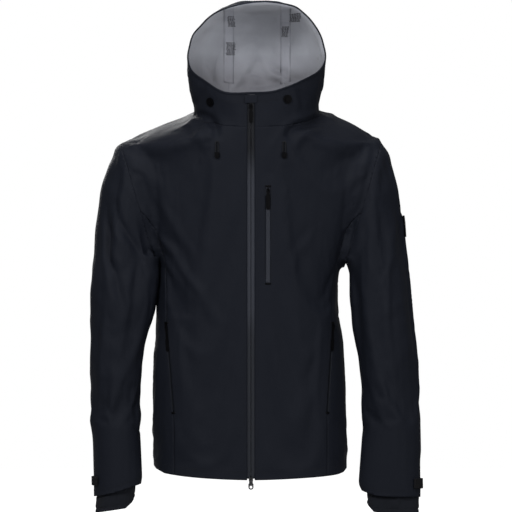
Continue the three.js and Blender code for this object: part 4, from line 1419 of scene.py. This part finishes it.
def zip_coil(name, tree, top, bottom, depth, body, pitch=1.7):
    """The interlocked teeth of a zip, as short bars across its line."""
    (x1, z1), (x0, z0) = top, bottom
    points, faces = [], []
    for z in np.arange(z0 + pitch, z1 - pitch, pitch):
        x = np.interp(z, [z0, z1], [x0, x1])
        place, _ = hit(tree, at(x, -300, z), BACKWARD)
        base = len(points)
        for end in (-1.9, 1.9):
            points += [
                place + Vector((end, depth + 0.45 * math.sin(t), 0.55 * math.cos(t))) * MM
                for t in np.linspace(0, 2 * math.pi, 6, endpoint=False)
            ]
        faces += [(base + k, base + (k + 1) % 6, base + 6 + (k + 1) % 6, base + 6 + k) for k in range(6)]
        faces += [tuple(base + 5 - k for k in range(6)), tuple(base + 6 + k for k in range(6))]
    piece = link(name, mesh_of(name, points, faces), PLASTIC)
    return finish_piece(piece, body)


def copy_of(node, name, material, voxel, smooth=4):
    """A soft copy of a CAD piece, rounded by a fine remesh."""
    piece = link(name, frame["nodes"][node].data.copy())
    piece.data.materials.clear()
    modify(piece, "REMESH", mode="VOXEL", voxel_size=voxel * MM)
    modify(piece, "SMOOTH", iterations=smooth)
    apply_modifiers(piece)
    piece.data.materials.append(material)
    shade_smooth(piece.data)
    add_cloth_grid(piece.data, name)
    store_wear(piece.data, np.zeros(len(piece.data.vertices)))
    return piece


def rim_path(pieces):
    """The edge of the face opening as an ordered loop of points, with the normals there."""
    tree = mesh_tree([pieces[name].data for name in ("collar", *HOOD_NODES)])
    points = []
    rim = np.array(RIM_LINE)
    for name in ("collar", *HOOD_NODES):
        bm = bmesh.new()
        bm.from_mesh(pieces[name].data)
        edge = {v for e in bm.edges if e.is_boundary for v in e.verts}
        points += [tuple(v.co) for v in edge]
        bm.free()
    points = np.array(points)
    x, y, z = own(points).T
    z = z + sag(own(points))
    on_rim = np.abs(y - np.interp(z, rim[:, 0], rim[:, 1])) < 1.8
    near = on_rim & (z > CHIN_Z - 6) & ((z > CHIN_Z + 3) | (np.abs(x) < 60))
    points = points[near]
    x, y, z = own(points).T
    order = np.argsort(np.arctan2(z - 840, x - 12))
    points = points[order]
    runs = np.concatenate([[0], np.cumsum(np.linalg.norm(np.diff(points, axis=0), axis=1))])
    steps = np.arange(0, runs[-1], 3 * MM)
    path = np.stack([np.interp(steps, runs, points[:, k]) for k in range(3)], axis=1)
    for _ in range(8):
        path = (np.roll(path, 1, axis=0) + 2 * path + np.roll(path, -1, axis=0)) / 4
    normals = np.array([tree.find_nearest(Vector(p))[1] for p in path])
    for _ in range(6):
        normals = (np.roll(normals, 1, axis=0) + normals + np.roll(normals, -1, axis=0)) / 3
    normals /= np.linalg.norm(normals, axis=1)[:, None]
    return path, normals, tree


def hood_rim(pieces):
    """The bound edge of the face opening and the stitching that closes its cord tunnel."""
    path, normals, tree = rim_path(pieces)
    binding = sweep("face_opening_binding", path, normals, oval(2.6, 1.5, lift=-0.5), True, SHELL)
    add_cloth_grid(binding.data, "binding")
    add_wear(binding.data, 2)
    follow(binding, "hood_blend")
    along = np.roll(path, -1, axis=0) - np.roll(path, 1, axis=0)
    along /= np.linalg.norm(along, axis=1)[:, None]
    inland = np.cross(along, normals)
    middle = path.mean(axis=0)
    outward = np.sign(((path - middle) * inland).sum(axis=1))[:, None] * inland
    rows = []
    for inset in (14, 17):
        found = [tree.find_nearest(Vector(p + o * inset * MM)) for p, o in zip(path, outward)]
        rows.append(([f[0] for f in found], [f[1] for f in found]))
    stitches("hood_rim_stitching", rows, "hood_blend")


def hood_tapes(pieces):
    """Seam tapes on the lining inside the hood, and the printed marks that show along them."""
    tree = mesh_tree([pieces[name].data for name in ("collar", *HOOD_NODES)])
    turns = np.radians(np.arange(50, 216, 3))
    for side, seam in zip(("right", "left"), HOOD_SEAMS):
        rows = []
        for turn in turns:
            way = Vector((0, -math.cos(turn), math.sin(turn)))
            row = [hit(tree, at(seam + shift, 20, 820), way, CLOTH + 0.3)[0] for shift in (-10, -5, 0, 5, 10)]
            rows.append(row)
        rows = [row for row in rows if None not in row]
        mesh = grid_mesh(f"hood_{side}_seam_tape", rows)
        orient(mesh, lambda centre: at(0, 20, 820) - centre)
        tape = link(mesh.name, mesh, TAPE)
        finish_piece(tape, "hood_blend", thickness=0.25)
    marks = [(-47, -33, 884, 903), (-50, -32, 828, 852), (60, 74, 864, 884), (76, 97, 892, 907)]
    for number, mark in enumerate(marks):
        tape_mark(f"hood_tape_mark_{number + 1}", tree, mark, number)


def tape_mark(name, tree, mark, seed):
    """A block of short printed dashes that says nothing, on the lining."""
    x0, x1, z0, z1 = mark
    random = np.random.default_rng(seed)
    points, faces = [], []
    for z in np.arange(z0, z1, 2.6):
        x = x0 + random.uniform(0, 2)
        while x < x1 - 1:
            long = random.uniform(1.2, 4.2)
            corners = [(x, z), (x + long, z), (x + long, z + 1.5), (x, z + 1.5)]
            places = [hit(tree, at(cx, -60, cz), BACKWARD, CLOTH + 0.8)[0] for cx, cz in corners]
            if None not in places:
                faces.append(tuple(len(points) + k for k in range(4)))
                points += places
            x += long + random.uniform(0.8, 1.8)
    mesh = mesh_of(name, points, faces)
    orient(mesh, lambda centre: at(0, -60, 820) - centre)
    finish_piece(link(name, mesh, PRINT), "hood_blend", thickness=0.15)


def zips(whole):
    """The film-faced strips, teeth and ends of every zip."""
    top, bottom = (0, 744), (0, 3)
    for side, sign in SIDES.items():
        offsets = [sign * offset for offset, _ in HALF_FILM]
        depths = [depth for _, depth in HALF_FILM]
        zip_film(f"main_zip_{side}_film", whole, top, bottom, offsets, depths, "torso",
                 [f"main_zip_{side}_tape"], FILM)
    zip_coil("main_zip_teeth", whole, (0, 714), (0, 12), 2.7, "torso")
    offsets = [-offset for offset, _ in reversed(POCKET_FILM)] + [offset for offset, _ in POCKET_FILM]
    depths = [depth for _, depth in reversed(POCKET_FILM)] + [depth for _, depth in POCKET_FILM]
    for name, ((top, bottom), half) in SHORT_ZIPS.items():
        # The pocket zips get the tape with painted shade, darker than the chest zip's.
        film = FILM if name == "chest" else POCKET_TAPE_PAINTED_SHADE
        zip_film(f"{name}_zip_film", whole, top, bottom, offsets, depths, "torso", [f"{name}_zip_tape"], film)
        for end, (x, z) in zip(("top", "bottom"), (top, bottom)):
            out = 1 if end == "top" else -1
            band = [
                [(x + dx, z + out * dz) for dx in np.linspace(-half - 1.5, half + 1.5, 5)]
                for dz in (-1.2, 0, 1.2, 2.4)
            ]
            surface_strip(f"{name}_zip_{end}_bar", whole, band, 0.9, 1.2, RUBBER, "torso")


def zip_stitching(whole):
    rows = [front_row(whole, [(x, 8), (x, 736)]) for x in (-12.5, 12.5)]
    for ((x1, z1), (x0, z0)), half in SHORT_ZIPS.values():
        gap = half + 3
        rows.append(front_row(whole, [(x1 - gap, z1 + 5), (x0 - gap, z0 - 5)]))
        rows.append(front_row(whole, [(x1 + gap, z1 + 5), (x0 + gap, z0 - 5)]))
    stitches("zip_stitching", rows, "torso")


def edge_stitching(name, tree, centre, reach, line, heights, count, body):
    """Rows of stitches all round, at some heights above a lower edge given as a line of (x, z)."""
    line = np.array(line)
    rows = [
        round_row(tree, centre, reach, lambda x: np.interp(x, line[:, 0], line[:, 1]) + height, count)
        for height in heights
    ]
    stitches(name, rows, body)


def inner_cuff(side):
    """The stretch cuff that shows below the sleeve."""
    node = f"{side}_inner_cuff"
    low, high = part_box(node)
    middle = own([(low + high) / 2])[0]
    line = np.array(INNER_CUFF_LINES[side])
    rings = [
        (at(middle[0] - 0.05 * (z + 60) * SIDES[side], middle[1], z), Vector((1, 0, 0)), BACKWARD)
        for z in np.arange(20, -72, -2.5)
    ]
    loops = sample_rings(tree_of([node]), rings, 72, 0.01)
    mesh = grid_mesh(f"{side}_inner_cuff", loops, closed=True)
    co = values(mesh)
    points = own(co)
    away = points[:, :2] - middle[:2]
    away /= np.linalg.norm(away, axis=1)[:, None]
    below = points[:, 2] - np.interp(points[:, 0], line[:, 0], line[:, 1])
    push = 0.9 * waviness(points, 30, 41) * smoothstep(4, 16, below)
    push -= 1.1 * np.exp(-((below - 8) / 1.6) ** 2)
    push -= 1.6 * np.exp(-((below - 36 - 3 * waviness(points, 60, 43)) / 2.4) ** 2)
    push += 0.8 * np.exp(-((below - 3) / 3) ** 2)
    co[:, :2] += away * push[:, None] * MM
    set_points(mesh, co)
    with editing(mesh) as bm:
        bmesh.ops.recalc_face_normals(bm, faces=bm.faces)
        trim_below(bm, line)
    centre_of_cuff = Vector(values(mesh).mean(axis=0))
    orient(mesh, lambda centre: centre - centre_of_cuff)
    shade_smooth(mesh)
    add_cloth_grid(mesh, f"{side}_cuff")
    add_wear(mesh, 1.5)
    piece = link(f"{side}_inner_cuff_knit", mesh, JERSEY)
    finish_piece(piece, f"{side}_sleeve_body", [node], 1.6)
    edge_stitching(f"{side}_inner_cuff_stitching", mesh_tree([mesh]), middle[:2], 90, line, (6.5, 9.5), 120,
                   f"{side}_sleeve_body")


def cuffs(pieces):
    for side, sign in SIDES.items():
        body = f"{side}_sleeve_body"
        inner_cuff(side)
        tree = mesh_tree([pieces[f"{side}_sleeve"].data])
        centre = (SLEEVE_LINES[side][-2][0], -56)
        edge_stitching(f"{side}_cuff_stitching", tree, centre, 95, CUFF_LINES[side], (10, 13), 150, body)
        tab = copy_of(f"{side}_cuff_tab", f"{side}_cuff_tab_strap", HOOK, 0.8)
        rib(tab.data, sign)
        finish_piece(tab, f"{side}_tab", [f"{side}_cuff_tab"])
        patch = copy_of(f"{side}_cuff_loop_patch", f"{side}_cuff_loop_field", HOOK, 0.6, smooth=2)
        finish_piece(patch, body, [f"{side}_cuff_loop_patch"])


def rib(mesh, sign):
    """Raised grip ribs on the free end of a cuff tab."""
    co = values(mesh)
    normal = values(mesh, "normal")
    x = own(co)[:, 0] * sign
    y = own(co)[:, 1]
    grip = smoothstep(-62, -70, y) * smoothstep(x.max() + 2, x.max() - 6, x)
    wave = 0.28 * np.cos(2 * math.pi * (y + 0.4 * x) / 3.4)
    set_points(mesh, co + normal * (wave * grip * (np.abs(normal[:, 2]) < 0.5))[:, None] * MM)


def tucked_copy(node, name, material, tree, body="torso", gap=2.4):
    """A limp copy of a CAD sheet inside the jacket, kept clear of the folds of the shell."""
    mesh = frame["nodes"][node].data.copy()
    mesh.materials.clear()
    bm = bmesh.new()
    bm.from_mesh(mesh)
    bmesh.ops.remove_doubles(bm, verts=bm.verts, dist=1e-6)
    for _ in range(5):
        long = [e for e in bm.edges if e.calc_length() > 11 * MM]
        if not long:
            break
        bmesh.ops.subdivide_edges(bm, edges=long, cuts=1, use_grid_fill=False)
        bmesh.ops.triangulate(bm, faces=[f for f in bm.faces if len(f.verts) > 3])
    bm.to_mesh(mesh)
    bm.free()
    co = values(mesh)
    normal = values(mesh, "normal")
    co += 0.35 * MM * waviness(own(co), 45, 61)[:, None] * normal
    for k, p in enumerate(co):
        place, out, _, _ = tree.find_nearest(Vector(p))
        over = (Vector(p) - place).dot(out) + gap * MM
        if over > 0:
            co[k] -= np.array(out) * over
    set_points(mesh, co)
    shade_smooth(mesh)
    add_cloth_grid(mesh, name)
    store_wear(mesh, np.zeros(len(mesh.vertices)))
    piece = link(name, mesh, material)
    return finish_piece(piece, body, [node])


def insides(pieces):
    tree = mesh_tree([pieces[name].data for name in TORSO_NODES])
    for node in ("storm_flap", "chest_pocket_bag", "left_pocket_bag", "right_pocket_bag", "hem_facing"):
        tucked_copy(node, f"{node}_cloth", LINING, tree)
    tucked_copy("neck_label", "neck_label_cloth", LINING, tree, gap=1.2)
    tucked_copy("hem_drawcord", "hem_drawcord_braid", CORD, tree, gap=1.4)
    tucked_copy("hanger_loop", "hanger_loop_tape", CORD, tree, gap=1.2)


def hood_cords():
    """The loop of cord above the end toggle on each side of the chest."""
    radius, half = 1.15, 2.4
    for side, sign in SIDES.items():
        low, high = (own([corner])[0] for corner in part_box(f"{side}_hood_cord"))
        x, y = (low[0] + high[0]) / 2, (low[1] + high[1]) / 2
        top, bottom = high[2] - radius - half, low[2]
        path = [(x - half, y, z) for z in np.arange(bottom - 1, top, 1.0)]
        path += [(x - half * math.cos(t), y, top + half * math.sin(t)) for t in np.linspace(0, math.pi, 9)]
        path += [(x + half, y, z) for z in np.arange(top - 1, bottom - 2, -1.0)]
        points = [at(*p) for p in path]
        cord = sweep(f"{side}_hood_cord_braid", points, [Vector((0, -1, 0))] * len(points),
                     oval(radius, radius, count=12), False, CORD)
        co = values(cord.data)
        wave = 0.1 * np.sin(own(co)[:, 2] * 2 * math.pi / 1.5 + np.arctan2(*(own(co)[:, :2] - [x, y]).T))
        set_points(cord.data, co + values(cord.data, "normal") * wave[:, None] * MM)
        finish_piece(cord, f"{side}_cord_end", [f"{side}_hood_cord"])


PLASTIC_NODES = ["main_upper_slider", "main_lower_slider", "main_zip_retainer_box", "chest_zip_slider"]
PLASTIC_NODES += [f"{place}_hood_{part}" for place in ("left", "right", "rear")
                  for part in ("cord_lock", "lock_button")]
PLASTIC_NODES += [f"{side}_{part}" for side in SIDES
                  for part in ("pocket_zip_slider", "cord_toggle", "hem_cord_lock")]
RUBBER_NODES = ["main_upper_puller", "chest_zip_puller", "left_pocket_zip_puller", "right_pocket_zip_puller"]
METAL_NODES = ["main_lower_puller"]


def hardware():
    """The moulded and metal CAD pieces keep their shape, with eased edges and real surfaces."""
    for nodes, material in ((PLASTIC_NODES, PLASTIC), (RUBBER_NODES, RUBBER), (METAL_NODES, METAL)):
        for node in nodes:
            piece = frame["nodes"][node]
            piece.data.materials.clear()
            piece.data.materials.append(material)
            modify(piece, "BEVEL", width=0.6 * MM, segments=3, limit_method="ANGLE")


def badge_and_garage(pieces):
    badge = copy_of("sleeve_badge", "sleeve_badge_patch", RUBBER, 0.5, smooth=2)
    finish_piece(badge, "left_sleeve_body", ["sleeve_badge"])
    low, high = (own([corner])[0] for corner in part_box("sleeve_badge"))
    tree = mesh_tree([badge.data])
    for number, (z0, z1) in enumerate(((low[2] + 8, low[2] + 12), (low[2] + 18, low[2] + 33))):
        rows = []
        for z in np.linspace(z0, z1, 5):
            row = [hit(tree, at(high[0] + 60, y, z), Vector((-1, 0, 0)), 0.25)[0]
                   for y in np.linspace(low[1] + 6, high[1] - 6, 6)]
            rows.append(row)
        rows = [row for row in rows if None not in row]
        mesh = grid_mesh(f"sleeve_badge_bar_{number + 1}", rows)
        orient(mesh, lambda centre: Vector((1, 0, 0)))
        finish_piece(link(mesh.name, mesh, BADGE), "left_sleeve_body", thickness=0.2)
    garage = copy_of("main_zip_garage", "main_zip_garage_cloth", SHELL, 0.5, smooth=4)
    co = values(garage.data)
    co[:, 2] -= sag(own(co)) * smoothstep(722, 742, own(co)[:, 2]) * MM
    set_points(garage.data, co)
    finish_piece(garage, "torso", ["main_zip_garage"])


def rear_lock_pad():
    """The bonded pad that seats the cord lock on the back of the hood."""
    pad = copy_of("rear_hood_cord_lock", "rear_lock_pad", SHELL, 0.5, smooth=2)
    points = own(values(pad.data))
    low, high = points.min(axis=0), points.max(axis=0)
    middle = (low + high) / 2
    points = middle + (points - middle) * (1.25, 2.1, 1.25)
    points[:, 1] += low[1] + 0.2 - points[:, 1].max()
    set_points(pad.data, ORIGIN + points * MM)
    finish_piece(pad, "hood_blend")


def trim(pieces, whole):
    rear_lock_pad()
    hood_rim(pieces)
    hood_tapes(pieces)
    zips(whole)
    zip_stitching(whole)
    body = mesh_tree([pieces[name].data for name in TORSO_NODES])
    edge_stitching("hem_stitching", body, (0, -5), 260, HEM_LINE, (14, 17), 420, "torso")
    cuffs(pieces)
    insides(pieces)
    hood_cords()
    badge_and_garage(pieces)


# ---- Stage ----------------------------------------------------------------------------------------------
def stage():
    points = [(x, y, FLOOR_Z) for x, y in ((-7, -7), (7, -7), (7, 7), (-7, 7))]
    faces = [(0, 1, 2, 3)]
    shader = Shader("floor", Roughness=0.9, Specular_IOR_Level=0.1)
    grain = shader.noise(shader.place(), 3)
    shader.set("Base Color", shader.blend(grain, (0.3, 0.3, 0.3), (0.34, 0.34, 0.34)))
    # The floor is lit white for the camera, but throws little light back onto the cloth.
    shader.set("Emission Color", (1, 1, 1))
    shader.set("Emission Strength", shader.node("LightPath").outputs["Is Camera Ray"])
    floor = link("floor", mesh_of("floor", points, faces), shader.material)


def light(name, place, aim, size, power):
    lamp = bpy.data.lights.new(name, "AREA")
    lamp.energy = power
    lamp.size = size
    piece = bpy.data.objects.new(name, lamp)
    piece.location = place
    piece.rotation_euler = (Vector(aim) - Vector(place)).to_track_quat("-Z", "Y").to_euler()
    piece.visible_camera = False
    bpy.context.scene.collection.objects.link(piece)


def camera():
    wide, distance, sensor = 998.4 * MM, 12.0, 36
    eye = bpy.data.cameras.new("camera")
    eye.sensor_width = sensor
    eye.lens = sensor * distance / wide
    piece = bpy.data.objects.new("camera", eye)
    piece.location = at(9.75, 0, 432.9) - Vector((0, distance, 0))
    piece.rotation_euler = (math.pi / 2, 0, 0)
    bpy.context.scene.collection.objects.link(piece)
    bpy.context.scene.camera = piece


def world():
    sky = bpy.data.worlds.new("studio")
    sky.use_nodes = True
    nodes, links = sky.node_tree.nodes, sky.node_tree.links
    ray = nodes.new("ShaderNodeLightPath")
    strength = nodes.new("ShaderNodeMapRange")
    strength.inputs["To Min"].default_value = 0.22
    strength.inputs["To Max"].default_value = 1.0
    links.new(ray.outputs["Is Camera Ray"], strength.inputs["Value"])
    links.new(strength.outputs[0], nodes["Background"].inputs["Strength"])
    nodes["Background"].inputs["Color"].default_value = (1, 1, 1, 1)
    bpy.context.scene.world = sky
    bpy.context.scene.view_settings.view_transform = "Standard"


shell, skin = build_shell()
trim(shell, skin)
join_bodies(shell)
hardware()
stage()
light("key", (-1.4, -3.6, 1.7), (0, 0, -0.15), 1.3, 128)
light("fill", (2.2, -3.4, 0.5), (0, 0, -0.15), 1.6, 62)
light("top", (0, -0.2, 2.6), (0, 0, -0.1), 1.4, 46)
light("back", (-1.3, 3.6, 1.3), (0, 0, -0.15), 1.6, 90)
light("inside_hood", at(4, -104, 880), at(14, 60, 876), 0.1, 0.112)
camera()
world()
